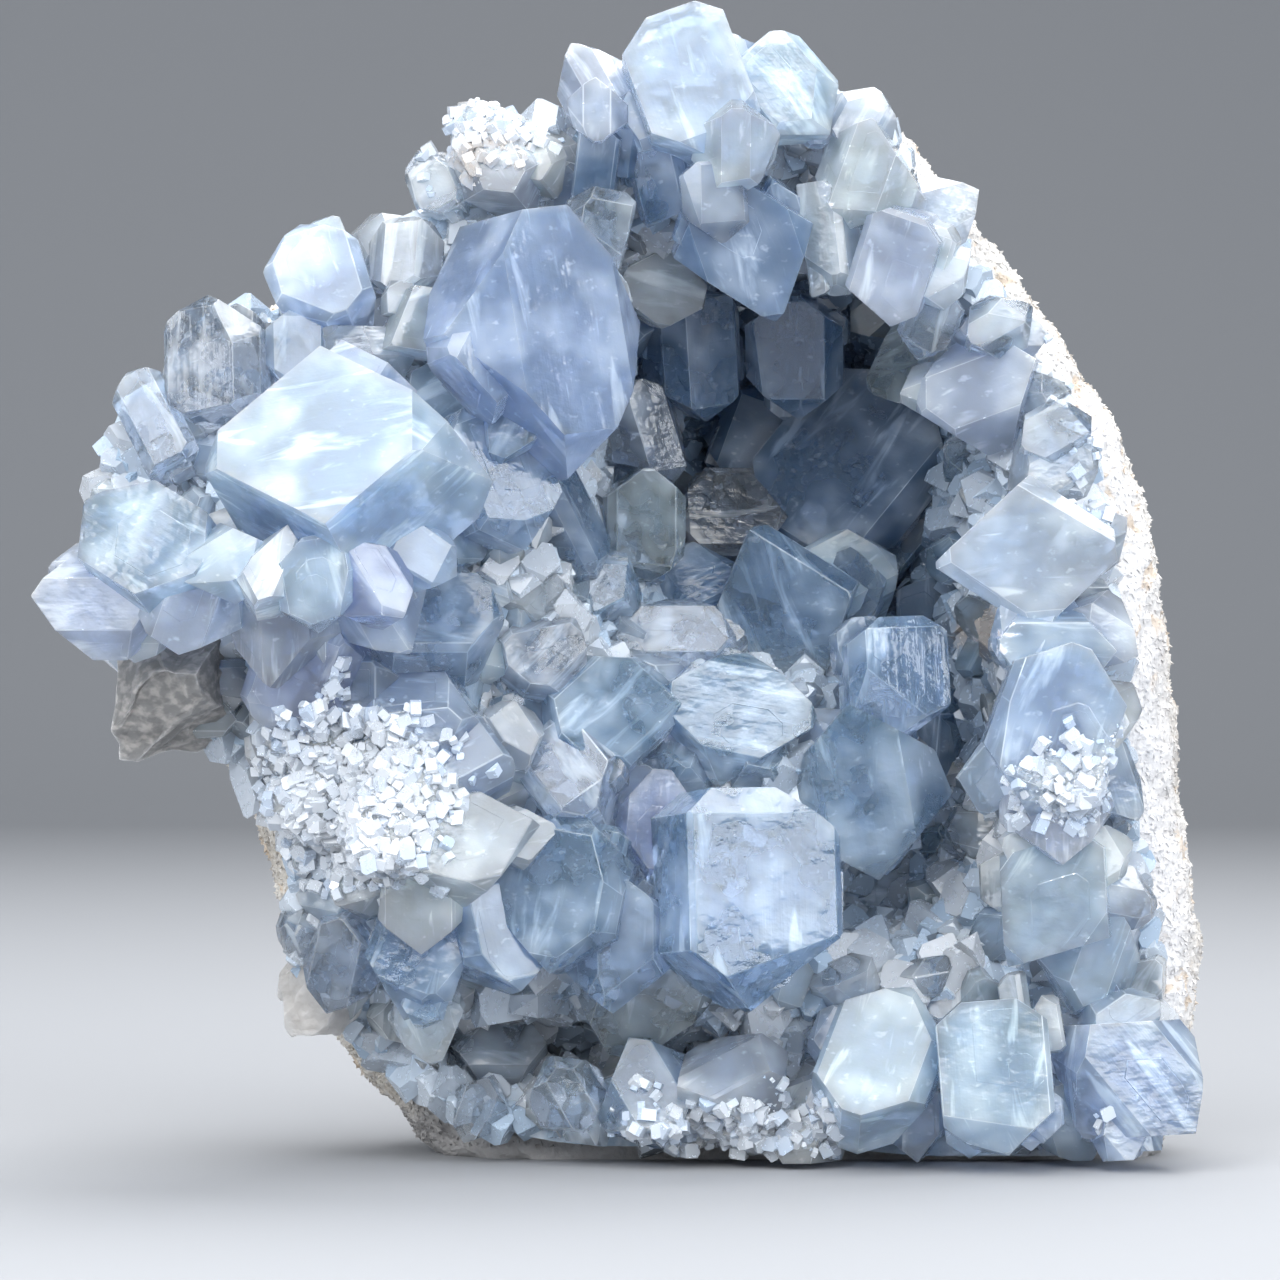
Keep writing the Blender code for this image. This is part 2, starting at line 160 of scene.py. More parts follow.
# The distance of each form's faces from the middle of a crystal of size 1, and the way its free end points
HABITS = {
    "block": ({"pinacoid": 0.72, "prism": 0.92, "long_dome": 1.02, "short_dome": 1.05, "side": 0.86}, "a"),
    "kite": ({"pinacoid": 0.46, "prism": 0.74, "long_dome": 1.06, "short_dome": 0.84}, "b"),
    "rhomb": ({"pinacoid": 0.72, "prism": 0.70, "long_dome": 1.15}, "b"),
    "plank": ({"pinacoid": 0.44, "prism": 0.98, "long_dome": 0.58, "short_dome": 0.95, "side": 0.52}, "a"),
    "stub": ({"pinacoid": 0.78, "prism": 0.80, "long_dome": 0.84}, "a"),
    "grain": ({"pinacoid": 0.62, "prism": 0.85}, "a"),
}
# How much the distances vary, how much further the root's faces lie, and how far back a root's face looks
FACE_SPREAD = 0.13
ROOT_LENGTH = 1.2
ROOT_FACING = -0.3
CRYSTAL_SEED = 7

# Each tone of crystal: its colour, how cloudy it is, and how far its faces are etched. The pale and white tones are
# partly lightened as a painted glow of the lit rims, and the deep tone is partly darkened as painted shade in the
# hollow.
TONES = {
    "pale": ((0.58, 0.73, 0.97), 0.38, 0.08),
    "blue": ((0.34, 0.51, 0.71), 0.30, 0.06),
    "deep": ((0.17, 0.29, 0.46), 0.50, 0.08),
    "teal": ((0.29, 0.45, 0.60), 0.28, 0.06),
    "steel": ((0.42, 0.53, 0.69), 0.36, 0.08),
    "violet": ((0.50, 0.60, 0.88), 0.36, 0.10),
    "white": ((0.75, 0.84, 1.00), 0.42, 0.16),
    "clear": ((0.66, 0.78, 0.93), 0.14, 0.05),
    "grey": ((0.46, 0.54, 0.64), 0.26, 0.12),
    "smoky": ((0.44, 0.48, 0.50), 0.20, 0.08),
    "cream": ((0.72, 0.82, 0.87), 0.34, 0.12),
    "olive": ((0.50, 0.59, 0.58), 0.22, 0.06),
    "stone": ((0.15, 0.15, 0.15), 2.00, 0.90),
    "chalk": ((0.62, 0.60, 0.58), 1.40, 0.90),
}
# How many corners are broken off a crystal of a tone, where it isn't two
CHIPS = {"white": 6, "cream": 5, "grey": 5, "clear": 5, "pale": 5, "stone": 6}

# Crystals: x, z, y, size, the way the broad face looks (degrees right and up of the viewer), the clock angle
# of the free end in degrees, the habit and the tone
LEFT_CLUSTER = (
    (-26, 64, -19, 10.4, -18, 32, 79, "rhomb", "pale"),
    (-44, 57, -17, 6.4, -20, 30, 300, "block", "pale"),
    (-49, 53, -14, 5.5, -20, 0, 270, "stub", "white"),
    (-41, 53, -18, 5.2, 0, -10, 200, "stub", "white"),
    (-45, 70, -8, 5.0, -10, 25, 330, "plank", "clear"),
    (-39, 75, -6, 5.2, -20, 20, 350, "block", "smoky"),
    (-30, 83, -4, 5.0, -10, 25, 340, "block", "pale"),
    (-32, 76, -6, 3.3, 10, 10, 180, "block", "pale"),
    (-25, 76, -6, 3.9, 20, 35, 90, "plank", "clear"),
    (-20, 79, -6, 4.3, 20, 10, 60, "kite", "clear"),
    (-22, 85, -2, 3.9, -10, 20, 0, "stub", "white"),
    (-32, 51, -16, 5.2, 0, -20, 180, "stub", "white"),
    (-24, 52, -15, 4.8, 10, -20, 150, "stub", "pale"),
    (-31, 46, -12, 5.3, -10, -10, 200, "block", "violet"),
    (-43, 45, -6, 6.1, -20, -30, 230, "stub", "stone"),
    (-20, 42, -12, 4.5, 0, 45, 90, "block", "pale"),
    (-25, 45, -12, 3.7, -10, 0, 0, "stub", "pale"),
)
LOWER_LEFT = (
    (-16, 31, -13, 5.9, 20, 10, 80, "kite", "cream"),
    (-29, 35, -9, 5.2, -20, 0, 230, "stub", "white"),
    (-22, 34, -13, 5.6, 0, 10, 30, "stub", "white"),
    (-32, 40, -8, 4.3, -20, 10, 300, "stub", "white"),
    (-20, 26, -10, 5.2, 0, -10, 180, "stub", "white"),
    (-24, 28, -8, 4.8, -20, 0, 200, "stub", "white"),
    (-16, 38, -11, 4.3, 10, 30, 60, "block", "pale"),
    (-27, 20, -4, 4.3, -20, -20, 200, "stub", "clear"),
    (-20, 20, -8, 5.2, 0, 10, 200, "block", "blue"),
    (-13, 22, -8, 5.2, 20, 10, 170, "block", "blue"),
    (-30, 16, 0, 4.1, -20, -15, 220, "stub", "chalk"),
    (-20, 14, -5, 3.9, 0, -10, 165, "kite", "clear"),
)
MIDDLE = (
    (-19, 50, -10, 5.7, 5, 35, 90, "block", "blue"),
    (-14, 64, -6, 5.9, 25, 10, 160, "block", "blue"),
    (-18, 72, -3, 3.9, 10, 20, 60, "block", "teal"),
    (-9, 76, -9, 10.6, 35, 5, 172, "kite", "steel"),
    (-12, 69, -10, 3.7, -10, 5, 200, "kite", "blue"),
    (-7, 60, 2, 5.2, 60, 20, 160, "plank", "deep"),
    (0, 60, 10, 4.8, 10, 0, 180, "block", "olive"),
    (-10, 53, -2, 3.5, 20, 30, 60, "stub", "clear"),
    (-4, 54, 4, 3.9, 0, 20, 100, "block", "blue"),
    (-9, 48, -4, 3.9, 15, 25, 45, "block", "grey"),
    (-3, 42, -3, 5.9, 20, 30, 50, "block", "teal"),
    (-7, 37, -6, 5.2, -12, 26, 320, "block", "clear"),
    (-12, 40, -7, 3.3, 0, 30, 330, "stub", "white"),
    (4, 42, 0, 4.1, 10, 0, 190, "kite", "pale"),
    (9, 42, 1, 6.3, 20, 20, 100, "kite", "teal"),
    (4, 48, 6, 5.2, 0, 30, 90, "stub", "clear"),
    (1, 32, -6, 4.3, 10, 10, 185, "kite", "violet"),
    (9, 25, -10, 8.8, 20, 5, 180, "block", "teal"),
    (-7, 26, -8, 6.4, -12, 5, 190, "block", "teal"),
    (-2, 21, -6, 5.6, 0, -5, 180, "stub", "blue"),
    (0, 17, -3, 6.4, 5, -35, 190, "kite", "olive"),
)
FLOOR = (
    (21, 35, 3, 7.8, 0, 0, 170, "stub", "teal"),
    (24, 45, 3, 5.3, 10, 5, 178, "block", "blue"),
    (15, 52, 14, 7.4, -8, 4, 160, "kite", "blue"),
    (20, 55, 18, 5.2, 10, 30, 60, "block", "pale"),
    (28, 53, 22, 3.2, 0, 0, 0, "block", "deep"),
    (29, 40, 22, 6.9, -40, 0, 180, "block", "deep"),
    (32, 31, 8, 3.2, -20, 10, 270, "stub", "clear"),
    (24, 24, 18, 5.6, 0, 20, 90, "block", "deep"),
    (31, 22, 12, 4.8, -10, 10, 330, "stub", "blue"),
    (29, 17, 6, 4.8, -10, 30, 350, "stub", "pale"),
    (19, 15, 6, 3.5, 0, 35, 20, "block", "teal"),
    (21, 66, 26, 9.1, -15, 0, 220, "block", "deep"),
    (15, 77, 18, 5.2, -5, -10, 180, "block", "deep"),
    (5, 77, 16, 5.1, 30, -10, 170, "block", "deep"),
    (0, 69, 15, 4.8, 30, 0, 160, "stub", "grey"),
    (9, 61, 24, 5.2, 10, 20, 90, "block", "smoky"),
    (27, 76, 13, 5.2, -30, -10, 250, "kite", "olive"),
    (12, 68, 28, 5.2, 0, 0, 200, "block", "deep"),
    (5, 54, 16, 4.3, 0, 30, 60, "block", "deep"),
)
TOP_RIM = (
    (5, 100, -3, 6.3, 0, 10, 160, "block", "pale"),
    (14, 100, -2, 4.8, 10, 10, 140, "block", "pale"),
    (5, 104, 4, 3.3, 0, 20, 350, "stub", "pale"),
    (-4, 101, 0, 4.1, -10, 20, 330, "stub", "white"),
    (-4, 99, -4, 2.8, 0, 0, 0, "stub", "white"),
    (9, 95, -6, 3.9, 0, -20, 180, "stub", "white"),
    (-4, 93, -1, 4.1, -10, -15, 190, "plank", "deep"),
    (2, 93, 0, 5.2, -20, -10, 170, "plank", "deep"),
    (10, 86, -1, 6.4, 5, -15, 160, "kite", "deep"),
    (7, 90, -5, 3.3, 5, -5, 175, "block", "clear"),
    (-13, 94, -1, 5.0, -20, 20, 330, "stub", "white"),
    (-19, 92, 2, 3.3, -20, 20, 330, "block", "clear"),
    (-4, 87, -3, 3.7, 10, 0, 190, "block", "clear"),
    (-3, 81, -4, 2.6, 0, 0, 180, "kite", "cream"),
    (2, 83, 8, 4.2, 20, -10, 100, "kite", "cream"),
    (-2, 76, -2, 3.0, 20, 0, 180, "plank", "clear"),
    (-14, 96, 2, 3.9, -30, 30, 320, "stub", "white"),
    (-24, 87, 3, 3.5, -30, 30, 320, "stub", "white"),
)
RIGHT_RIM = (
    (21, 92, -1, 5.0, -10, 0, 200, "stub", "white"),
    (18, 87, -1, 4.5, -30, -5, 175, "plank", "cream"),
    (24, 84, -2, 4.8, -15, -10, 200, "block", "white"),
    (21, 98, 2, 3.7, 10, 20, 30, "stub", "white"),
    (28, 90, 3, 3.8, 10, 0, 60, "stub", "white"),
    (32, 73, 3, 5.6, -10, 0, 250, "stub", "white"),
    (34, 78, 3, 4.0, 10, 10, 90, "stub", "white"),
    (36, 57, -4, 7.0, -5, 0, 265, "kite", "white"),
    (39, 66, 1, 4.0, 15, 0, 60, "stub", "white"),
    (39, 49, -3, 5.0, 5, 0, 90, "stub", "pale"),
    (38, 41, -6, 6.9, 0, 0, 200, "block", "pale"),
    (39, 34, -4, 5.3, 10, 0, 180, "stub", "white"),
    (33, 37, -3, 3.5, -20, -20, 190, "block", "pale"),
    (36, 30, -5, 2.6, -10, 0, 190, "kite", "white"),
    (38, 25, -4, 6.1, -10, 0, 215, "kite", "pale"),
    (42, 19, -1, 4.8, 10, 0, 200, "stub", "pale"),
    (35, 16, -2, 2.4, -30, 0, 350, "plank", "cream"),
    (38, 14, -4, 2.6, -10, 10, 350, "plank", "white"),
)
BOTTOM_RIM = (
    (46, 8, -4, 6.6, 15, 5, 140, "stub", "pale"),
    (33, 8, -7, 6.3, -5, 10, 175, "block", "pale"),
    (22, 10, -5, 6.3, 0, 30, 20, "block", "pale"),
    (9, 8, -3, 5.2, 0, 30, 60, "stub", "white"),
    (1, 7, -2, 4.8, 0, 20, 330, "stub", "blue"),
    (-7, 7, -1, 3.5, 0, 10, 330, "stub", "clear"),
    (-13, 10, 6, 4.3, 0, 20, 90, "stub", "clear"),
    (15, 4, -1, 4.3, 0, 10, 20, "stub", "white"),
    (40, 4, 0, 3.9, 10, -10, 160, "stub", "pale"),
    (26, 4, -1, 3.5, 0, 0, 180, "stub", "pale"),
    (-15, 5, 2, 3.0, -10, 0, 200, "stub", "clear"),
    (5, 4, 1, 3.0, 0, 0, 200, "stub", "clear"),
)
CRYSTALS = LEFT_CLUSTER + LOWER_LEFT + MIDDLE + FLOOR + TOP_RIM + RIGHT_RIM + BOTTOM_RIM
# Milky lumps that only the dressed piece has, as rows of the same kind
LUMPS = (
    (-28, 41, -11, 3.6, -10, 10, 240, "stub", "white"),
    (-23, 39, -12, 3.2, 10, 20, 40, "block", "pale"),
    (-37, 56, -22, 3.8, -20, 10, 240, "stub", "pale"),
    (-33, 55, -24, 3.6, 0, 20, 200, "stub", "white"),
    (-29, 54, -24, 3.9, 10, 0, 170, "block", "pale"),
    (-24, 54, -22, 3.8, 20, 10, 150, "stub", "violet"),
    (-20, 57, -19, 3.4, 20, 10, 120, "block", "pale"),
    (-47, 57, -13, 3.6, -30, 20, 300, "stub", "pale"),
    (-50, 56, -11, 3.0, -30, 0, 280, "stub", "white"),
    (36, 50, -4, 3.4, -10, 10, 200, "block", "pale"),
    (42, 58, -2, 3.6, 10, 20, 60, "stub", "white"),
    (43, 50, -2, 3.9, 20, 0, 120, "stub", "white"),
    (43, 43, -3, 3.6, 20, 10, 40, "block", "white"),
    (44, 36, -2, 3.6, 20, 0, 160, "stub", "pale"),
    (42, 29, -3, 3.7, 10, 10, 60, "block", "white"),
    (45, 25, -1, 3.4, 20, 0, 100, "stub", "white"),
    (45, 14, -3, 3.4, 20, 20, 60, "stub", "pale"),
    (39, 69, -1, 3.2, 0, 10, 60, "block", "clear"),
    (34, 79, 0, 3.2, 0, 10, 60, "stub", "clear"),
    (28, 84, -2, 3.3, 0, 10, 60, "stub", "white"),
    (27, 79, 0, 3.0, -10, 0, 200, "block", "clear"),
)

# Sugary white crystal, bruised or very fine: x, z, half width, half height and strength
SNOW = (
    (-26, 35, 11, 10, 1.0),
    (39, 36, 6, 3.5, 1.0),
    (10, 4, 16, 3, 0.8),
    (3, 101, 12, 5, 0.45),
    (30, 92, 8, 7, 0.45),
    (44, 6, 8, 5, 0.55),
    (28, 10, 6, 4, 0.45),
    (41, 77, 6, 10, 0.6),
    (43, 64, 5, 7, 0.6),
    (-38, 51, 9, 4, 0.45),
    (-14, 97, 8, 5, 0.8),
)
# Rusty tan dust, in the same way
DUST = (
    (-14, 94, 6, 4, 0.5),
    (33, 50, 3, 3, 0.7),
    (41, 55, 3, 2, 0.7),
    (3, 58, 3, 3, 0.6),
    (-22, 86, 5, 3, 0.5),
    (17, 91, 3, 3, 0.6),
)


class GeodeSettings(bpy.types.PropertyGroup):
    """Sizes and colours that change the looks of the geode."""

    # The worn strip along the edges is also painted lighter in the crystal material, as a painted highlight
    edge_wear: FloatProperty(
        name="Edge wear",
        description="Width of the worn strip along a crystal's edges, in millimetres",
        default=0.07,
        min=0.0,
    )
    step_height: FloatProperty(
        name="Growth steps",
        description="Height of the growth steps on a crystal's faces, in millimetres",
        default=0.03,
        min=0.0,
    )
    refraction: FloatProperty(
        name="Refraction",
        description="Celestine's index of refraction",
        default=1.62,
        min=1.0,
    )
    depth_colour: FloatVectorProperty(
        name="Depth colour",
        description="Colour of light that has passed through thick crystal",
        subtype="COLOR",
        default=(0.50, 0.67, 0.95),
        min=0.0,
        max=1.0,
    )
    depth_density: FloatProperty(
        name="Depth density",
        description="How quickly thick crystal takes on its colour, per metre",
        default=60.0,
        min=0.0,
    )
    druse_spacing: FloatProperty(
        name="Druse spacing",
        description="Distance between the small crystals on the bed",
        default=1.5 * MM,
        unit="LENGTH",
        min=0.5 * MM,
    )
    druse_seed: IntProperty(name="Druse seed", description="Places the small crystals", default=11)
    rock_grain: FloatProperty(
        name="Rock grain",
        description="Height of the rock's coarse grain, in millimetres",
        default=0.45,
        min=0.0,
    )
    rock_colour: FloatVectorProperty(
        name="Rock colour",
        description="Main colour of the limestone",
        subtype="COLOR",
        default=(0.50, 0.46, 0.40),
        min=0.0,
        max=1.0,
    )
    floor_colour: FloatVectorProperty(
        name="Floor colour",
        description="Colour of the plain floor",
        subtype="COLOR",
        default=(0.30, 0.31, 0.33),
        min=0.0,
        max=1.0,
    )
    key_power: FloatProperty(
        name="Key light",
        description="Power of the large light above the front",
        default=12.0,
        unit="POWER",
        min=0.0,
    )


class Wire:
    """A socket of a node graph. Python's operators on it add Math nodes."""

    def __init__(self, graph, socket):
        self.graph = graph
        self.socket = socket

    def maths(self, operation, first, second=0.0):
        return self.graph.add("ShaderNodeMath", {"operation": operation}, {0: first, 1: second})

    def __add__(self, other):
        return self.maths("ADD", self, other)

    def __sub__(self, other):
        return self.maths("SUBTRACT", self, other)

    def __rsub__(self, other):
        return self.maths("SUBTRACT", other, self)

    def __mul__(self, other):
        return self.maths("MULTIPLY", self, other)

    def __truediv__(self, other):
        return self.maths("DIVIDE", self, other)

    def __pow__(self, other):
        return self.maths("POWER", self, other)

    __radd__ = __add__
    __rmul__ = __mul__

    def most(self, other):
        return self.maths("MAXIMUM", self, other)

    def least(self, other):
        return self.maths("MINIMUM", self, other)


class Graph:
    """A node tree that is built one node at a time."""

    def __init__(self, tree):
        self.tree = tree
        tree.nodes.clear()

    def add(self, kind, settings=None, sockets=None, output=0):
        """Adds a node: its type, its settings, then its sockets' values or links. Gives one of its outputs."""
        node = self.tree.nodes.new(kind)
        for name, value in (settings or {}).items():
            if name == "stops":
                set_stops(node.color_ramp, value)
            else:
                setattr(node, name, value)
        for name, value in (sockets or {}).items():
            self.feed(node.inputs[name], value)
        return Wire(self, node.outputs[output]) if len(node.outputs) else None

    def feed(self, socket, value):
        if isinstance(value, Wire):
            self.tree.links.new(value.socket, socket)
        elif hasattr(value, "__len__") and socket.type == "RGBA" and len(value) == 3:
            socket.default_value = (*value, 1)
        else:
            socket.default_value = value

    def ramp(self, value, low, high):
        """0 where the value is low, 1 where it is high, and smooth between."""
        settings = {"interpolation_type": "SMOOTHSTEP"}
        return self.add("ShaderNodeMapRange", settings, {"Value": value, "From Min": low, "From Max": high})

    def parts(self, vector):
        """A vector's three numbers."""
        node = self.add("ShaderNodeSeparateXYZ", {}, {0: vector}).socket.node
        return [Wire(self, output) for output in node.outputs]

    def channels(self, colour):
        """A colour's red, green and blue."""
        parts = self.add("ShaderNodeSeparateColor", {}, {0: colour}).socket.node
        return [Wire(self, output) for output in parts.outputs]

    def blend(self, share, first, second):
        """A colour between two colours."""
        return self.add("ShaderNodeMix", {"data_type": "RGBA"}, {0: share, 6: first, 7: second}, 2)

    def noise(self, place, scale, detail=3.0, distortion=0.0, output="Fac"):
        sockets = {"Vector": place, "Scale": scale, "Detail": detail, "Distortion": distortion}
        return self.add("ShaderNodeTexNoise", {}, sockets, output)

    def cells(self, place, scale, feature="F1", output="Distance"):
        return self.add("ShaderNodeTexVoronoi", {"feature": feature}, {"Vector": place, "Scale": scale}, output)

    def scaled(self, place, factors):
        return self.add("ShaderNodeVectorMath", {"operation": "MULTIPLY"}, {0: place, 1: factors})


def set_stops(ramp, stops):
    while len(ramp.elements) > 1:
        ramp.elements.remove(ramp.elements[-1])
    for number, (place, colour) in enumerate(stops):
        element = ramp.elements[0] if number == 0 else ramp.elements.new(place)
        element.position = place
        element.color = (*colour, 1)


def material_graph(name):
    made = bpy.data.materials.new(name)
    made.use_nodes = True
    return made, Graph(made.node_tree)


def patch_values(places, table):
    """How far each point lies inside the patches of a table, from 0 to their strength."""
    total = np.zeros(len(places))
    for x, z, half_x, half_z, strength in table:
        reach = ((places[:, 0] / MM - x) / half_x) ** 2 + ((places[:, 2] / MM - z) / half_z) ** 2
        total = np.maximum(total, strength * np.clip((1.7 - reach) / 1.5, 0, 1))
    return total


def frost(obj):
    """Marks where a piece is snowy and dusty, and how deep in the hollow it lies, as a colour on its points. The
    depth darkens the bed and druse as painted shade.
    """
    mesh = obj.data
    places = np.zeros(3 * len(mesh.vertices), dtype=np.float32)
    mesh.vertices.foreach_get("co", places)
    places = places.reshape(-1, 3)
    values = np.ones((len(places), 4), dtype=np.float32)
    values[:, 0] = patch_values(places, SNOW)
    values[:, 1] = patch_values(places, DUST)
    # Depth in the hollow, which drives the painted shade of the bed and druse
    values[:, 2] = np.clip((places[:, 1] / MM + 14) / 22, 0, 1)
    if "frost" in mesh.attributes:
        mesh.attributes.remove(mesh.attributes["frost"])
    mesh.attributes.new("frost", "FLOAT_COLOR", "POINT").data.foreach_set("color", values.ravel())


def bed(x, z):
    """The depth of the crystal bed behind the plane of the rim."""
    depth = RIM_Y
    for cx, cz, half_x, half_z, amount in SWELLS:
        depth += amount * math.exp(-(((x - cx) / half_x) ** 2) - ((z - cz) / half_z) ** 2)
    for cx, cz, half_x, half_z, amount in HOLLOWS:
        reach = ((x - cx) / half_x) ** 2 + ((z - cz) / half_z) ** 2
        depth += amount * math.exp(-(reach**2))
    return depth


def outline_at(share):
    """The rock's outline and bare strip at a share of the way round, on a smooth closed curve."""
    place = share * len(OUTLINE)
    first = int(place)
    t = place - first
    p0, p1, p2, p3 = (Vector(OUTLINE[(first + k - 1) % len(OUTLINE)]) for k in range(4))
    bend = 2 * p0 - 5 * p1 + 4 * p2 - p3
    twist = 3 * p1 - p0 - 3 * p2 + p3
    return 0.5 * (2 * p1 + (p2 - p0) * t + bend * t**2 + twist * t**3)


def spoke(share):
    """The outline's point on this spoke, and the share of the spoke that the crystals cover."""
    x, z, bare = outline_at(share)
    length = math.hypot(x - BOWL_CENTRE[0], z - BOWL_CENTRE[1])
    return (x, z), 1 - bare / length


def on_spoke(end, along):
    return tuple(c + along * (e - c) for c, e in zip(BOWL_CENTRE, end))


def add_object(name, mesh, material=None):
    """An object of a mesh in millimetres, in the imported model's frame."""
    mesh.transform(Matrix.Diagonal((MM, MM, MM, 1)) @ Matrix.Translation((0, -FLAT_Y, 0)))
    obj = bpy.data.objects.new(name, mesh)
    bpy.context.scene.collection.objects.link(obj)
    if material:
        mesh.materials.append(material)
    return obj


def mesh_of(bm, name):
    mesh = bpy.data.meshes.new(name)
    bm.to_mesh(mesh)
    bm.free()
    return mesh


def baked(obj, name):
    """A plain mesh object with this object's modifiers applied. The first object is removed."""
    graph = bpy.context.evaluated_depsgraph_get()
    mesh = bpy.data.meshes.new_from_object(obj.evaluated_get(graph))
    bpy.data.objects.remove(obj)
    made = bpy.data.objects.new(name, mesh)
    bpy.context.scene.collection.objects.link(made)
    return made


def face_normals(indices):
    """Every face of a form, as unit normals: its Miller indices with all signs."""
    across = [index / edge for index, edge in zip(indices, CELL)]
    signs = [(1, -1) if value else (1,) for value in across]
    return [
        Vector((across[0] * a, across[1] * b, across[2] * c)).normalized()
        for a in signs[0]
        for b in signs[1]
        for c in signs[2]
    ]


def crystal_bmesh(habit, chance):
    """A crystal of size 1, cut from a cube. Its free end is along +X and its broad face along +Z."""
    distances, free_end = HABITS[habit]
    bm = bmesh.new()
    bmesh.ops.create_cube(bm, size=2 * ROOT_LENGTH)
    turn = Matrix.Rotation(math.radians(-90), 3, "Z") if free_end == "b" else Matrix.Identity(3)
    for form, distance in distances.items():
        for normal in face_normals(FORMS[form]):
            normal = turn @ normal
            root = ROOT_LENGTH if normal.x < ROOT_FACING else 1.0
            away = distance * root * (1 + FACE_SPREAD * chance.uniform(-1, 1))
            cut_off(bm, normal * away, normal)
    bmesh.ops.recalc_face_normals(bm, faces=bm.faces)
    return bm


def cut_off(bm, point, normal):
    """Cuts off what lies beyond a plane, and closes the cut."""
    everything = bm.verts[:] + bm.edges[:] + bm.faces[:]
    cut = bmesh.ops.bisect_plane(bm, geom=everything, plane_co=point, plane_no=normal, clear_outer=True)
    rim = [item for item in cut["geom_cut"] if isinstance(item, bmesh.types.BMEdge)]
    if rim:
        bmesh.ops.contextual_create(bm, geom=rim)


def chip(bm, count, deepest, chance):
    """Breaks pieces off a crystal's corners, by flat cuts that leave at least the deepest share of its reach."""
    for _ in range(count):
        corner = chance.choice([v for v in bm.verts if v.co.x > -0.6]).co.copy()
        way = (corner.normalized() + 0.5 * Vector([chance.uniform(-1, 1) for _ in range(3)])).normalized()
        reach = max(v.co.dot(way) for v in bm.verts)
        cut_off(bm, way * reach * chance.uniform(deepest, 0.96), way)
    bmesh.ops.recalc_face_normals(bm, faces=bm.faces)


def placing(x, z, y, size, right, up, clock):
    """The matrix that sets a crystal of size 1 in its place."""
    az, el = math.radians(right), math.radians(up)
    broad = Vector((math.sin(az) * math.cos(el), -math.cos(az) * math.cos(el), math.sin(el)))
    upward = (Vector((0, 0, 1)) - broad * broad.z).normalized()
    rightward = upward.cross(broad)
    tip = upward * math.cos(math.radians(clock)) + rightward * math.sin(math.radians(clock))
    turned = Matrix((tip, broad.cross(tip), broad)).transposed().to_4x4()
    return Matrix.Translation((x, y, z)) @ turned @ Matrix.Diagonal((size, size, size, 1))


def lifted(bm, face, anchor, share, height):
    """Draws a face in towards a point on it and raises it, with walls to where it was."""
    normal = face.normal.copy()
    plate = bmesh.ops.extrude_discrete_faces(bm, faces=[face])["faces"][0]
    for vert in plate.verts:
        vert.co = anchor + (vert.co - anchor) * share + normal * height
    return plate


def add_growth_step(bm, face, height, chance):
    """Raises part of a face a little, as a plate of later growth."""
    corner = chance.choice(list(face.verts)).co
    anchor = face.calc_center_median().lerp(corner, chance.uniform(0.45, 0.85))
    plate = lifted(bm, face, anchor, chance.uniform(0.35, 0.85), 0.0)
    return lifted(bm, plate, anchor, 0.98, height)


def finish_crystal(bm, size, tone, settings, chance):
    """Wears a crystal's edges, adds growth steps to its larger faces, and paints its tone and finish on it."""
    worn_and_highlit = bmesh.ops.bevel(
        bm,
        geom=bm.edges[:],
        offset=settings.edge_wear * chance.uniform(0.6, 1.4) / size,
        offset_type="OFFSET",
        segments=1,
        profile=0.5,
        affect="EDGES",
        clamp_overlap=True,
    )["faces"]
    worn_and_highlit = set(worn_and_highlit)
    for face in [f for f in bm.faces if f not in worn_and_highlit and f.normal.x > ROOT_FACING]:
        for _ in range(min(2, int(face.calc_area() * size * size / 14)) if size < 8 else 0):
            if chance.random() < 0.4:
                face = add_growth_step(bm, face, settings.step_height * chance.uniform(0.4, 1.4) / size, chance)
    bm.normal_update()
    growth = bm.loops.layers.uv.new("growth")
    tones = bm.loops.layers.float_color.new("tone")
    finishes = bm.loops.layers.float_color.new("finish")
    colour, milk, etch = TONES[tone]
    shade = chance.uniform(0.88, 1.12)
    milk = milk * chance.uniform(0.8, 1.2)
    own = chance.random()
    for face in bm.faces:
        along = Vector((1, 0, 0)) - face.normal * face.normal.x
        if along.length < 0.2:
            along = Vector((0, 1, 0)) - face.normal * face.normal.y
        along.normalize()
        across = face.normal.cross(along)
        for loop in face.loops:
            place = loop.vert.co * size
            loop[growth].uv = (place.dot(along) + 90 * own, place.dot(across) + 40 * own)
            loop[tones] = (*(shade * c for c in colour), 1)
            # The worn strip is flagged here; the material paints it rougher, cloudier and lighter, the lightening
            # being partly a painted highlight
            loop[finishes] = (milk, float(face in worn_and_highlit), etch, own)


def weather(bm, size):
    """Turns a crystal into a lump of rough rock."""
    bmesh.ops.triangulate(bm, faces=bm.faces)
    bmesh.ops.subdivide_edges(bm, edges=bm.edges[:], cuts=4, use_grid_fill=True)
    for vert in bm.verts:
        place = vert.co * size
        vert.co += (0.9 * noise.noise_vector(place / 3.2) + 0.3 * noise.noise_vector(place / 1.2)) / size
    bm.normal_update()


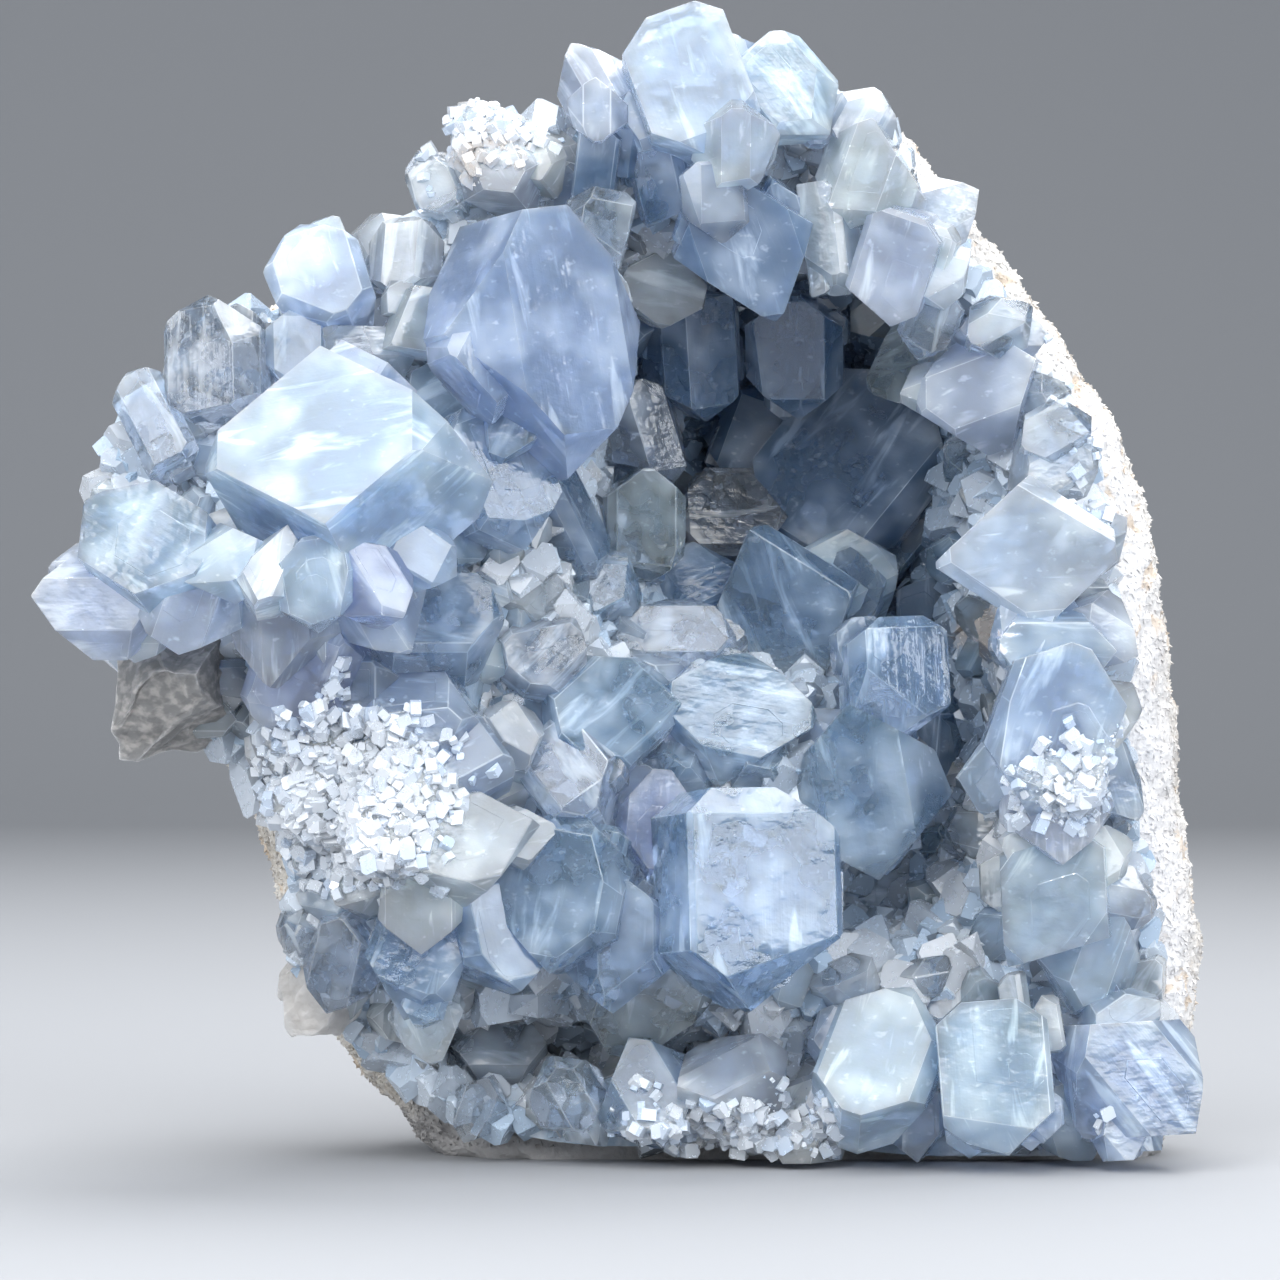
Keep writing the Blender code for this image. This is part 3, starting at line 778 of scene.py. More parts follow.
def parallel_growth(habit, size, chance):
    """Smaller crystals in the same stance as their host, half sunk in its flanks: their matrices."""
    for _ in range(chance.choice((1, 2, 3)) if size > 4 else 0):
        turn = chance.uniform(0, 2 * math.pi)
        out = chance.uniform(0.55, 0.85)
        shift = Vector((out * math.cos(turn), out * math.sin(turn), chance.uniform(-0.45, 0.15)))
        tilt = Matrix.Rotation(math.radians(chance.uniform(-5, 5)), 4, chance.choice("XYZ"))
        scale = chance.uniform(0.3, 0.55)
        yield Matrix.Translation(shift) @ tilt @ Matrix.Diagonal((scale, scale, scale, 1)), scale


def bed_facing(x, z):
    """The way that the bed looks, in degrees right and up of the viewer."""
    side = bed(x + 0.5, z) - bed(x - 0.5, z)
    rise = bed(x, z + 0.5) - bed(x, z - 0.5)
    return math.degrees(math.atan(side)), math.degrees(math.atan(rise / math.hypot(1, side)))


def filler_rows(chance):
    """Rows like the tables', for the middling crystals that fill the room between the others."""
    rows = []
    for _ in range(1600):
        end, cover = spoke(chance.random())
        along = math.sqrt(chance.random())
        x, z = on_spoke(end, 0.99 * cover * along)
        size = chance.uniform(1.7, 3.9 - 1.2 * along)
        near_row = any((x - r[0]) ** 2 + (z - r[1]) ** 2 < (0.75 * (size + r[3])) ** 2 for r in rows)
        hidden = any((x - r[0]) ** 2 + (z - r[1]) ** 2 < (0.45 * r[3]) ** 2 for r in CRYSTALS)
        if z < 4 or near_row or hidden:
            continue
        depth = bed(x, z)
        right, up = bed_facing(x, z)
        # Deeper crystals get darker tones, partly as painted shade in the hollow, and crystals near the rim paler
        # ones, partly as a painted glow of the lit rim
        tones = ("deep", "blue", "teal", "grey") if depth > 13 else ("pale", "blue", "clear", "pale", "steel")
        if along > 0.78:
            tones = ("white", "pale", "clear", "pale", "cream")
        rows.append((
            x, z, depth - 0.25 * size, size,
            right + chance.uniform(-40, 40), up + chance.uniform(-30, 40), chance.uniform(0, 360),
            chance.choice(("block", "stub", "kite", "stub")), chance.choice(tones),
        ))
    return rows


def add_crystal(bm, name, matrix):
    bm.transform(matrix)
    if min(v.co.z for v in bm.verts) < CRYSTAL_FLOOR:
        cut_off(bm, Vector((0, 0, CRYSTAL_FLOOR)), Vector((0, 0, -1)))
    return add_object(name, mesh_of(bm, name))


def union(name, objects):
    """One closed solid of several that overlap."""
    group = bpy.data.collections.new(name)
    for obj in objects[1:]:
        group.objects.link(obj)
    joint = objects[0].modifiers.new("Union", "BOOLEAN")
    joint.operation = "UNION"
    joint.solver = "MANIFOLD"
    joint.operand_type = "COLLECTION"
    joint.collection = group
    made = baked(objects[0], name)
    for obj in objects[1:]:
        bpy.data.objects.remove(obj)
    bpy.data.collections.remove(group)
    return made


def marks(graph):
    """How snowy and how dusty a point is, and how deep in the hollow, which is used for painted shade."""
    colour = graph.add("ShaderNodeVertexColor", {"layer_name": "frost"}, {}, "Color")
    return graph.channels(colour)


def celestite_material(settings):
    """Clear blue crystal, cloudy in places, with etched faces and white bruised patches."""
    made, graph = material_graph("celestite")
    tone = graph.add("ShaderNodeVertexColor", {"layer_name": "tone"}, {}, "Color")
    milk, worn_and_highlit, etch = graph.channels(graph.add("ShaderNodeVertexColor", {"layer_name": "finish"}, {}, "Color"))
    snowy, dusty, deep = marks(graph)
    growth = graph.add("ShaderNodeUVMap", {"uv_map": "growth"})
    place = graph.add("ShaderNodeTexCoord", {}, {}, "Object")
    cloud = graph.noise(place, 150.0, 2.0)
    fine = graph.noise(graph.scaled(place, (1.0, 1.0, 1.5)), 900.0, 2.0)
    clouds = graph.ramp(cloud, 0.42, 0.72)
    wisps = graph.ramp(fine, 0.62, 0.78)
    veils = graph.ramp(graph.noise(graph.scaled(growth, (0.10, 0.45, 1.0)), 1.0, 4.0, 0.8), 0.55, 0.70)
    snow = graph.ramp(snowy + 0.5 * fine + 0.5 * cloud, 0.95, 1.45)
    dust = graph.ramp(dusty + 0.9 * fine, 1.05, 1.35)
    rocky = graph.ramp(etch, 0.3, 0.8)
    glassy = 1 - rocky
    sugary = graph.ramp(graph.cells(place, 1600.0), 0.0, 0.6)
    stripes = graph.noise(graph.scaled(growth, (0.10, 2.2, 1.0)), 1.0, 2.0)
    # Cloud and snow lighten the crystal's own colour, the worn edge strips are lightened partly by wear and partly as
    # a painted highlight, and dust stains it
    colour = graph.blend(0.45 * clouds * glassy, tone, (0.80, 0.88, 0.98))
    colour = graph.blend((0.3 * wisps + 0.2 * worn_and_highlit + 0.25 * veils) * glassy, colour, (0.88, 0.94, 1.0))
    colour = graph.blend(0.6 * rocky * graph.ramp(fine, 0.40, 0.70), colour, (0.42, 0.40, 0.38))
    colour = graph.blend(0.8 * snow, colour, graph.blend(sugary, (0.58, 0.70, 0.90), (0.80, 0.88, 1.0)))
    colour = graph.blend(0.75 * dust, colour, (0.62, 0.49, 0.36))
    rough = 0.05 + 0.3 * etch + 0.10 * wisps + 0.30 * snow + 0.4 * dust + 0.15 * worn_and_highlit + 0.5 * rocky
    height = 0.09 * stripes + 1.6 * cloud + 0.20 * fine * (1 + 3 * etch) + snow * (0.8 * fine + 0.35 * sugary)
    bump = graph.add("ShaderNodeBump", {}, {"Strength": 0.42, "Distance": 0.00045, "Height": height})
    tint = graph.blend(0.65, tone, (1.0, 1.0, 1.0))
    clear = graph.add(
        "ShaderNodeBsdfPrincipled",
        {},
        {
            "Base Color": tint,
            "Roughness": rough,
            "IOR": settings.refraction,
            "Transmission Weight": 1.0,
            "Normal": bump,
        },
    )
    cloudy = graph.add(
        "ShaderNodeBsdfPrincipled",
        {},
        {
            "Base Color": colour,
            "Roughness": rough,
            "IOR": settings.refraction,
            "Subsurface Weight": 1.0,
            "Subsurface Radius": (0.9, 0.9, 0.9),
            "Subsurface Scale": 0.0035,
            "Normal": bump,
        },
    )
    share = 0.50 * milk + 0.22 * clouds + 0.12 * wisps + 0.5 * snow + 0.9 * dust + 0.1 * worn_and_highlit + 0.25 * veils
    surface = graph.add("ShaderNodeMixShader", {}, {0: share.least(1.0), 1: clear, 2: cloudy})
    depth = graph.add(
        "ShaderNodeVolumeAbsorption", {}, {"Color": settings.depth_colour, "Density": settings.depth_density}
    )
    graph.add("ShaderNodeOutputMaterial", {}, {"Surface": surface, "Volume": depth})
    return made


def bed_material():
    """Fine grey-blue crystal at the roots, darkened deep in the hollow as painted shade, with patches of pale and
    rusty rock.
    """
    made, graph = material_graph("crystal bed")
    place = graph.add("ShaderNodeTexCoord", {}, {}, "Object")
    snowy, dusty, deep = marks(graph)
    patch = graph.noise(place, 150.0, 4.0, 0.5)
    grain = graph.noise(place, 900.0, 3.0, 0.3)
    snow = graph.ramp(snowy + 0.8 * grain, 0.75, 1.2)
    colour = graph.blend(graph.ramp(patch, 0.42, 0.62), (0.34, 0.44, 0.55), (0.60, 0.66, 0.72))
    # Painted shade: darker the deeper the bed lies in the hollow
    colour = graph.blend(graph.ramp(deep, 0.2, 0.75), colour, (0.15, 0.21, 0.29))
    colour = graph.blend(0.25 * graph.ramp(grain * patch, 0.28, 0.40), colour, (0.40, 0.36, 0.30))
    colour = graph.blend(snow, colour, (0.88, 0.90, 0.94))
    bump = graph.add("ShaderNodeBump", {}, {"Strength": 0.8, "Distance": 0.0004, "Height": grain})
    surface = graph.add(
        "ShaderNodeBsdfPrincipled", {}, {"Base Color": colour, "Roughness": 0.4, "Normal": bump}
    )
    graph.add("ShaderNodeOutputMaterial", {}, {"Surface": surface})
    return made


def druse_material(settings, name, low, high, clearness):
    """Small crystals: paler and cloudier than the large ones, each a little different."""
    made, graph = material_graph(name)
    chance = graph.add("ShaderNodeAttribute", {"attribute_name": "chance"}, {}, "Fac")
    place = graph.add("ShaderNodeTexCoord", {}, {}, "Object")
    snowy, dusty, deep = marks(graph)
    grain = graph.noise(place, 1400.0, 2.0)
    colour = graph.blend(chance, low, high)
    # Painted shade: darker deep in the hollow
    colour = graph.blend(0.85 * graph.ramp(deep, 0.25, 0.85), colour, (0.20, 0.30, 0.44))
    colour = graph.blend(graph.ramp(snowy + 0.5 * chance, 0.5, 1.4), colour, (0.88, 0.93, 1.00))
    colour = graph.blend(0.7 * graph.ramp(dusty + 0.5 * grain, 0.5, 0.9), colour, (0.62, 0.50, 0.38))
    rough = 0.06 + 0.25 * graph.ramp(grain, 0.45, 0.65)
    sockets = {"Roughness": rough, "IOR": settings.refraction, "Transmission Weight": clearness}
    surface = graph.add("ShaderNodeBsdfPrincipled", {}, {"Base Color": colour, **sockets})
    graph.add("ShaderNodeOutputMaterial", {}, {"Surface": surface})
    return made


def rock_material(settings):
    """Pale granular limestone: white on the front towards the right and top, tan and pitted behind, and darkened
    towards the bottom as painted shade.
    """
    made, graph = material_graph("limestone")
    place = graph.add("ShaderNodeTexCoord", {}, {}, "Object")
    across, depth, upward = graph.parts(place)
    broad = graph.noise(place, 60.0, 4.0, 0.6)
    middle = graph.noise(place, 300.0, 5.0, 0.3)
    grain = graph.noise(place, 1500.0, 4.0)
    front = graph.ramp(depth + 0.006 * broad, 0.004, -0.012)
    colour = graph.blend(graph.ramp(broad, 0.35, 0.65), settings.rock_colour, (0.70, 0.67, 0.62))
    colour = graph.blend(0.6 * graph.ramp(middle, 0.5, 0.68), colour, (0.33, 0.30, 0.27))
    # Whiter on the front towards the right and top
    white = front * graph.ramp(across + 0.4 * upward, -0.03, 0.02)
    colour = graph.blend(0.9 * white, colour, (0.70, 0.71, 0.75))
    colour = graph.blend(0.4 * graph.ramp(grain, 0.50, 0.66), colour, (0.84, 0.84, 0.85))
    rusty = graph.ramp(graph.noise(place, 420.0, 3.0, 0.4), 0.54, 0.64) * graph.ramp(broad, 0.40, 0.52)
    colour = graph.blend(0.65 * rusty, colour, (0.56, 0.44, 0.32))
    # Painted shade: darker towards the bottom, over the underside near the base
    low = graph.ramp(upward + 0.006 * broad, 0.011, 0.004)
    colour = graph.blend(0.8 * low, colour, (0.24, 0.24, 0.25))
    height = 0.5 * grain + middle
    bump = graph.add("ShaderNodeBump", {}, {"Strength": 0.8, "Distance": 0.0007, "Height": height})
    surface = graph.add(
        "ShaderNodeBsdfPrincipled", {}, {"Base Color": colour, "Roughness": 0.8, "Normal": bump}
    )
    graph.add("ShaderNodeOutputMaterial", {}, {"Surface": surface})
    return made


def plain_material(name, colour, roughness):
    made, graph = material_graph(name)
    surface = graph.add("ShaderNodeBsdfPrincipled", {}, {"Base Color": colour, "Roughness": roughness})
    graph.add("ShaderNodeOutputMaterial", {}, {"Surface": surface})
    return made


def bed_rings(spokes, rings, sink):
    """Rings of points over the crystal bed, from the middle of the bowl outwards."""
    ends = [spoke(k / spokes) for k in range(spokes)]
    x, z = BOWL_CENTRE
    made = [[Vector((x, bed(x, z) + sink, z))]]
    for step in range(1, rings + 1):
        ring = []
        for end, cover in ends:
            x, z = on_spoke(end, (cover + 0.005) * step / rings)
            ring.append(Vector((x, bed(x, z) + sink, z)))
        made.append(ring)
    return made


def ring_bmesh(rings, closed):
    """A mesh through rings of points. The first ring is a single point, and so is the last one if it's closed."""
    bm = bmesh.new()
    made = [[bm.verts.new(p) for p in ring] for ring in rings]
    for inner, outer in zip(made, made[1:]):
        count = max(len(inner), len(outer))
        for k in range(count):
            corners = (inner[k % len(inner)], outer[k % len(outer)])
            corners += (outer[(k + 1) % len(outer)], inner[(k + 1) % len(inner)])
            bm.faces.new(dict.fromkeys(corners))
    bmesh.ops.recalc_face_normals(bm, faces=bm.faces)
    if not closed and sum(face.normal.y for face in bm.faces) > 0:
        bmesh.ops.reverse_faces(bm, faces=bm.faces)
    return bm


def roughened(point, height, length):
    """A height from smooth noise, at two scales."""
    near = point / length
    return height * (noise.noise(near) + 0.5 * noise.noise(near * 2.7))


def make_bed():
    """The bed as a closed skin: a front of fine facets, and a back sunk in the rock."""
    front = bed_rings(BED_SPOKES, BED_RINGS, BED_SINK)
    for ring in front[:-1]:
        for point in ring:
            cell = noise.voronoi(point / 2.2)[0]
            point.y += 1.1 * (cell[1] - cell[0]) * -1 + roughened(point, 0.4, 3.0)
    back = bed_rings(BED_SPOKES, 12, BED_DEPTH)
    bm = ring_bmesh(front + back[::-1], True)
    cut_off(bm, Vector((0, 0, CRYSTAL_FLOOR)), Vector((0, 0, -1)))
    made = add_object("crystal_bed", mesh_of(bm, "crystal_bed"), bed_material())
    frost(made)
    return made


def shard_bmesh(chance):
    """A splinter of size 1 with the fewest faces."""
    bm = bmesh.new()
    for x, y, z in ((0, 0, 1), (0.9, 0, -0.4), (-0.5, 0.8, -0.4), (-0.4, -0.8, -0.3)):
        bm.verts.new([value + chance.uniform(-0.25, 0.25) for value in (x, y, z)])
    bmesh.ops.convex_hull(bm, input=bm.verts)
    return bm


def small_crystals(chance, count, habits):
    """Crystals of size 1 mm that stand for all the small ones, in a collection of their own."""
    group = bpy.data.collections.new("small_crystals")
    for number in range(count):
        bm = crystal_bmesh(chance.choice(habits), chance) if habits else shard_bmesh(chance)
        bm.transform(Matrix.Rotation(math.radians(-90), 4, "Y"))
        mesh = mesh_of(bm, f"small_{number}")
        mesh.transform(Matrix.Diagonal((MM, MM, MM, 1)))
        group.objects.link(bpy.data.objects.new(f"small_{number}", mesh))
    return group


def scatter_tree(name, material, group, channel, reversed_mask):
    """Geometry Nodes that grow small crystals on a surface, where one of its frost channels calls for them."""
    tree = bpy.data.node_groups.new(name, "GeometryNodeTree")
    graph = Graph(tree)
    for label, kind in (
        ("Surface", "NodeSocketGeometry"),
        ("Spacing", "NodeSocketFloat"),
        ("Smallest", "NodeSocketFloat"),
        ("Largest", "NodeSocketFloat"),
        ("Lean", "NodeSocketFloat"),
        ("Cover", "NodeSocketFloat"),
        ("Contrast", "NodeSocketFloat"),
        ("Seed", "NodeSocketInt"),
    ):
        tree.interface.new_socket(name=label, in_out="INPUT", socket_type=kind)
    tree.interface.new_socket(name="Crystals", in_out="OUTPUT", socket_type="NodeSocketGeometry")
    entry = tree.nodes.new("NodeGroupInput")
    asked = {socket.name: Wire(graph, socket) for socket in entry.outputs if socket.name}
    frosted = graph.add(
        "GeometryNodeInputNamedAttribute", {"data_type": "FLOAT_COLOR"}, {"Name": "frost"}, "Attribute"
    )
    split = graph.add("FunctionNodeSeparateColor", {}, {0: frosted}).socket.node
    mask = Wire(graph, split.outputs[channel])
    mask = (asked["Cover"] + (1 - mask if reversed_mask else mask)) * asked["Contrast"]
    settings = {"distribute_method": "POISSON"}
    sockets = {"Mesh": asked["Surface"], "Distance Min": asked["Spacing"], "Density Max": 2e7}
    sockets.update({"Density Factor": mask.least(1.0), "Seed": asked["Seed"]})
    points = graph.add("GeometryNodeDistributePointsOnFaces", settings, sockets, "Points")
    rotation = Wire(graph, points.socket.node.outputs["Rotation"])
    lean = asked["Lean"]
    least = graph.add("ShaderNodeCombineXYZ", {}, {0: 0.0 - lean, 1: 0.0 - lean, 2: -math.pi})
    most = graph.add("ShaderNodeCombineXYZ", {}, {0: lean, 1: lean, 2: math.pi})
    spin = graph.add(
        "FunctionNodeRandomValue", {"data_type": "FLOAT_VECTOR"}, {0: least, 1: most, "Seed": asked["Seed"]}
    )
    turned = graph.add(
        "FunctionNodeRotateRotation",
        {"rotation_space": "LOCAL"},
        {0: rotation, 1: graph.add("FunctionNodeEulerToRotation", {}, {0: spin})},
    )
    size = graph.add(
        "FunctionNodeRandomValue",
        {"data_type": "FLOAT"},
        {2: asked["Smallest"], 3: asked["Largest"], "Seed": asked["Seed"] + 1},
        1,
    )
    kinds = graph.add(
        "GeometryNodeCollectionInfo",
        {},
        {"Collection": group, "Separate Children": True, "Reset Children": True},
    )
    placed = graph.add(
        "GeometryNodeInstanceOnPoints",
        {},
        {"Points": points, "Instance": kinds, "Pick Instance": True, "Rotation": turned, "Scale": size},
    )
    own = graph.add("FunctionNodeRandomValue", {"data_type": "FLOAT"}, {"Seed": asked["Seed"] + 2}, 1)
    marked = graph.add(
        "GeometryNodeStoreNamedAttribute",
        {"data_type": "FLOAT", "domain": "INSTANCE"},
        {"Geometry": placed, "Name": "chance", "Value": own},
    )
    real = graph.add("GeometryNodeRealizeInstances", {}, {0: marked})
    painted = graph.add("GeometryNodeSetMaterial", {}, {"Geometry": real, "Material": material})
    leave = tree.nodes.new("NodeGroupOutput")
    graph.feed(leave.inputs[0], painted)
    return tree


def scattered(name, surface, material, habits, channel, reversed_mask, values):
    """A plain mesh of small crystals grown on a surface. The surface is removed."""
    group = small_crystals(random.Random(values["Seed"]), 6, habits)
    tree = scatter_tree(name, material, group, channel, reversed_mask)
    growth = surface.modifiers.new("Growth", "NODES")
    growth.node_group = tree
    for item in tree.interface.items_tree:
        if item.in_out == "INPUT" and item.name in values:
            growth[item.identifier] = values[item.name]
    made = baked(surface, name)
    made.data.materials.clear()
    made.data.materials.append(material)
    for obj in list(group.objects):
        bpy.data.objects.remove(obj)
    bpy.data.collections.remove(group)
    frost(made)
    return made


def settle(piece, slot, *nodes):
    """Rides a finished piece on the rock and hides the imported parts that it stands for."""
    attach(piece, "root")
    if nodes:
        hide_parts(*nodes)


class GEODE_OT_rock(bpy.types.Operator):
    """Builds the rock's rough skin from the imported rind"""

    bl_idname = "geode.rock"
    bl_label = "Rock rind"

    def execute(self, context):
        settings = context.scene.geode
        bm = bmesh.new()
        bm.from_mesh(frame["nodes"]["rind"].data)
        bmesh.ops.remove_doubles(bm, verts=bm.verts, dist=0.001 * MM)
        mesh = mesh_of(bm, "rind_rock")
        mesh.materials.clear()
        obj = bpy.data.objects.new("rind_rock", mesh)
        context.scene.collection.objects.link(obj)
        fine = obj.modifiers.new("Fine", "REMESH")
        fine.mode = "VOXEL"
        fine.voxel_size = 0.85 * MM
        rock = baked(obj, "rind_rock")
        bm = bmesh.new()
        bm.from_mesh(rock.data)
        bm.normal_update()
        shifts = []
        for vert in bm.verts:
            place = vert.co / MM
            grain = settings.rock_grain
            height = roughened(place, 1.1 * grain, 4.5) + roughened(place + Vector((50, 0, 0)), 0.9 * grain, 1.4)
            cell = noise.voronoi(place / 1.9)[0]
            height += grain * 0.8 * min(cell[1] - cell[0], 0.6)
            near_base = min(1.0, max(0.0, (vert.co.z - 0.2 * MM) / (2.5 * MM)))
            shifts.append(vert.normal * (height - 0.9 * grain) * MM * near_base)
        for vert, shift in zip(bm.verts, shifts):
            vert.co += shift
            vert.co.z = max(vert.co.z, 0.0)
        bm.to_mesh(rock.data)
        bm.free()
        rock.data.materials.clear()
        rock.data.materials.append(rock_material(settings))
        settle(rock, "rind", "rind")
        return {"FINISHED"}


class GEODE_OT_bed(bpy.types.Operator):
    """Builds the bed of fine crystal that the large crystals grow from"""

    bl_idname = "geode.bed"
    bl_label = "Crystal bed"

    def execute(self, context):
        settle(make_bed(), "celestite")
        return {"FINISHED"}


class GEODE_OT_crystals(bpy.types.Operator):
    """Builds the large crystals, with smaller ones in parallel growth, as one solid"""

    bl_idname = "geode.crystals"
    bl_label = "Crystals"

    def execute(self, context):
        settings = context.scene.geode
        chance = random.Random(CRYSTAL_SEED)
        extra = random.Random(CRYSTAL_SEED + 1)
        made = []
        rows = CRYSTALS + LUMPS + tuple(filler_rows(extra))
        for number, (x, z, y, size, right, up, clock, habit, tone) in enumerate(rows):
            bm = crystal_bmesh(habit, chance if number < len(CRYSTALS) else extra)
            chip(bm, CHIPS.get(tone, 3) if size < 8 else 1, 0.70 if size < 5.6 else 0.82, extra)
            finish_crystal(bm, size, tone, settings, extra)
            if tone in ("stone", "chalk"):
                weather(bm, size)
            matrix = placing(x, z, y, size, right, up, clock)
            made.append(add_crystal(bm, f"crystal_{number:03d}", matrix))
            for k, (beside, scale) in enumerate(parallel_growth(habit, size, extra)):
                bm = crystal_bmesh(habit, extra)
                chip(bm, CHIPS.get(tone, 3), 0.70, extra)
                finish_crystal(bm, size * scale, tone, settings, extra)
                made.append(add_crystal(bm, f"crystal_{number:03d}_{k}", matrix @ beside))
        crystals = union("crystals", made)
        crystals.data.materials.clear()
        crystals.data.materials.append(celestite_material(settings))
        frost(crystals)
        settle(crystals, "celestite", "crystal_crust")
        return {"FINISHED"}


class GEODE_OT_druse(bpy.types.Operator):
    """Grows small crystals all over the bed, and larger ones towards the rim"""

    bl_idname = "geode.druse"
    bl_label = "Druse"

    def execute(self, context):
        settings = context.scene.geode
        fine = druse_material(settings, "druse", (0.46, 0.61, 0.79), (0.78, 0.86, 0.95), 0.35)
        coarse = druse_material(settings, "rim crystals", (0.62, 0.74, 0.89), (0.90, 0.94, 0.99), 0.5)
        for name, material, habits, reversed_mask, values in (
            ("druse", fine, ("block", "stub"), False, {
                "Spacing": settings.druse_spacing, "Smallest": 0.7, "Largest": 2.1, "Lean": 0.6,
                "Cover": 1.0, "Contrast": 1.0, "Seed": settings.druse_seed,
            }),
            ("rim_crystals", coarse, ("block", "kite", "stub"), True, {
                "Spacing": 1.7 * settings.druse_spacing, "Smallest": 1.3, "Largest": 3.2, "Lean": 0.8,
                "Cover": -0.35, "Contrast": 1.0, "Seed": settings.druse_seed + 20,
            }),
        ):
            bm = ring_bmesh(bed_rings(72, 24, BED_SINK), False)
            cut_off(bm, Vector((0, 0, 3.5)), Vector((0, 0, -1)))
            surface = add_object("ground", mesh_of(bm, "ground"))
            frost(surface)
            settle(scattered(name, surface, material, habits, 2, reversed_mask, values), "celestite")
        return {"FINISHED"}


def part_of(obj, name, wanted):
    """A copy of an object's mesh with only the faces that a test accepts."""
    bm = bmesh.new()
    bm.from_mesh(obj.data)
    bmesh.ops.delete(bm, geom=[face for face in bm.faces if not wanted(face)], context="FACES")
    made = bpy.data.objects.new(name, mesh_of(bm, name))
    bpy.context.scene.collection.objects.link(made)
    return made


class GEODE_OT_sugar(bpy.types.Operator):
    """Strews sugary grains and finer splinters of crystal over the snowy patches"""

    bl_idname = "geode.sugar"
    bl_label = "Sugar"

    def execute(self, context):
        settings = context.scene.geode
        material = druse_material(settings, "sugar", (0.64, 0.77, 0.96), (0.88, 0.94, 1.00), 0.4)

        def shown(face):
            return face.calc_center_median().z > 1.8 * MM and face.normal.y < 0.35

        for name, habits, values in (
            ("sugar", ("grain",), {
                "Spacing": 0.65 * MM, "Smallest": 0.2, "Largest": 0.85, "Lean": 1.2,
                "Cover": -0.5, "Contrast": 3.0, "Seed": settings.druse_seed + 40,
            }),
            ("splinters", (), {
                "Spacing": 0.20 * MM, "Smallest": 0.08, "Largest": 0.30, "Lean": 1.5,
                "Cover": -0.78, "Contrast": 6.0, "Seed": settings.druse_seed + 50,
            }),
        ):
            surface = part_of(bpy.data.objects["crystals"], "sugar_ground", shown)
            settle(scattered(name, surface, material, habits, 0, False, values), "celestite")
        return {"FINISHED"}


class GEODE_OT_crumbs(bpy.types.Operator):
    """Strews crumbs of limestone over the rock's broken front edge"""

    bl_idname = "geode.crumbs"
    bl_label = "Rock crumbs"

    def execute(self, context):
        settings = context.scene.geode
        rock = bpy.data.objects["rind_rock"]
        surface = part_of(rock, "crumb_ground", lambda face: face.normal.y < 0.1 and face.calc_center_median().z > MM)
        frost(surface)
        values = {
            "Spacing": 0.5 * MM, "Smallest": 0.15, "Largest": 0.42, "Lean": 1.5,
            "Cover": 1.0, "Contrast": 1.0, "Seed": settings.druse_seed + 60,
        }
        crumbs = scattered("crumbs", surface, rock.data.materials[0], (), 0, False, values)
        settle(crumbs, "rind")
        return {"FINISHED"}


class GEODE_OT_stage(bpy.types.Operator):
    """Sets the floor, the lights and the camera"""

    bl_idname = "geode.stage"
    bl_label = "Stage"

    def execute(self, context):
        settings = context.scene.geode
        add_floor(settings)
        add_lights(settings)
        add_camera()
        set_light_paths(context.scene)
        return {"FINISHED"}


def add_floor(settings):
    """A floor that curves up into a backdrop."""
    near, far, turn, top, half_width = -1.5, 0.9, 0.5, 2.0, 2.5
    profile = [(near, 0.0)]
    for step in range(13):
        angle = math.pi / 2 * step / 12
        profile.append((far + turn * math.sin(angle), turn - turn * math.cos(angle)))
    profile.append((far + turn, top))
    bm = bmesh.new()
    sides = [[bm.verts.new((x, y, z)) for y, z in profile] for x in (-half_width, half_width)]
    for k in range(len(profile) - 1):
        bm.faces.new((sides[0][k], sides[1][k], sides[1][k + 1], sides[0][k + 1]))
    bmesh.ops.recalc_face_normals(bm, faces=bm.faces)
    floor = bpy.data.objects.new("floor", mesh_of(bm, "floor"))
    context_scene = bpy.context.scene
    context_scene.collection.objects.link(floor)
    floor.data.materials.append(plain_material("floor", settings.floor_colour, 0.7))
    for face in floor.data.polygons:
        face.use_smooth = True
    floor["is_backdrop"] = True


def add_lights(settings):
    world = bpy.data.worlds.new("studio")
    world.use_nodes = True
    world.node_tree.nodes["Background"].inputs["Color"].default_value = (0.78, 0.85, 0.95, 1)
    world.node_tree.nodes["Background"].inputs["Strength"].default_value = 0.34
    bpy.context.scene.world = world
    target = Vector((0.0, 0.0, 0.05))
    for name, place, size, power, colour in (
        ("key", (-0.12, -0.58, 0.70), 1.05, settings.key_power * 1.08, (1.0, 0.99, 0.97)),
        ("left fill", (-0.75, -0.50, 0.25), 0.60, settings.key_power * 0.32, (0.94, 0.97, 1.0)),
        ("right fill", (0.60, -0.62, 0.35), 0.60, settings.key_power * 0.50, (0.96, 0.98, 1.0)),
        ("top", (0.10, 0.20, 0.70), 0.60, settings.key_power * 0.62, (1.0, 1.0, 1.0)),
        ("spark", (-0.30, -0.70, 0.45), 0.05, settings.key_power * 0.06, (1.0, 1.0, 1.0)),
    ):
        light = bpy.data.lights.new(name, "AREA")
        light.shape = "SQUARE"
        light.size = size
        light.energy = power
        light.color = colour
        obj = bpy.data.objects.new(name, light)
        obj.location = place
        obj.rotation_euler = (target - Vector(place)).to_track_quat("-Z", "Y").to_euler()
        bpy.context.scene.collection.objects.link(obj)


# The camera is level with the middle of the frame, which takes in this width at the front of the rim
CAMERA_AWAY = 500.0
FRAME_WIDTH = 120.3
FRAME_MIDDLE_Z = 49.35


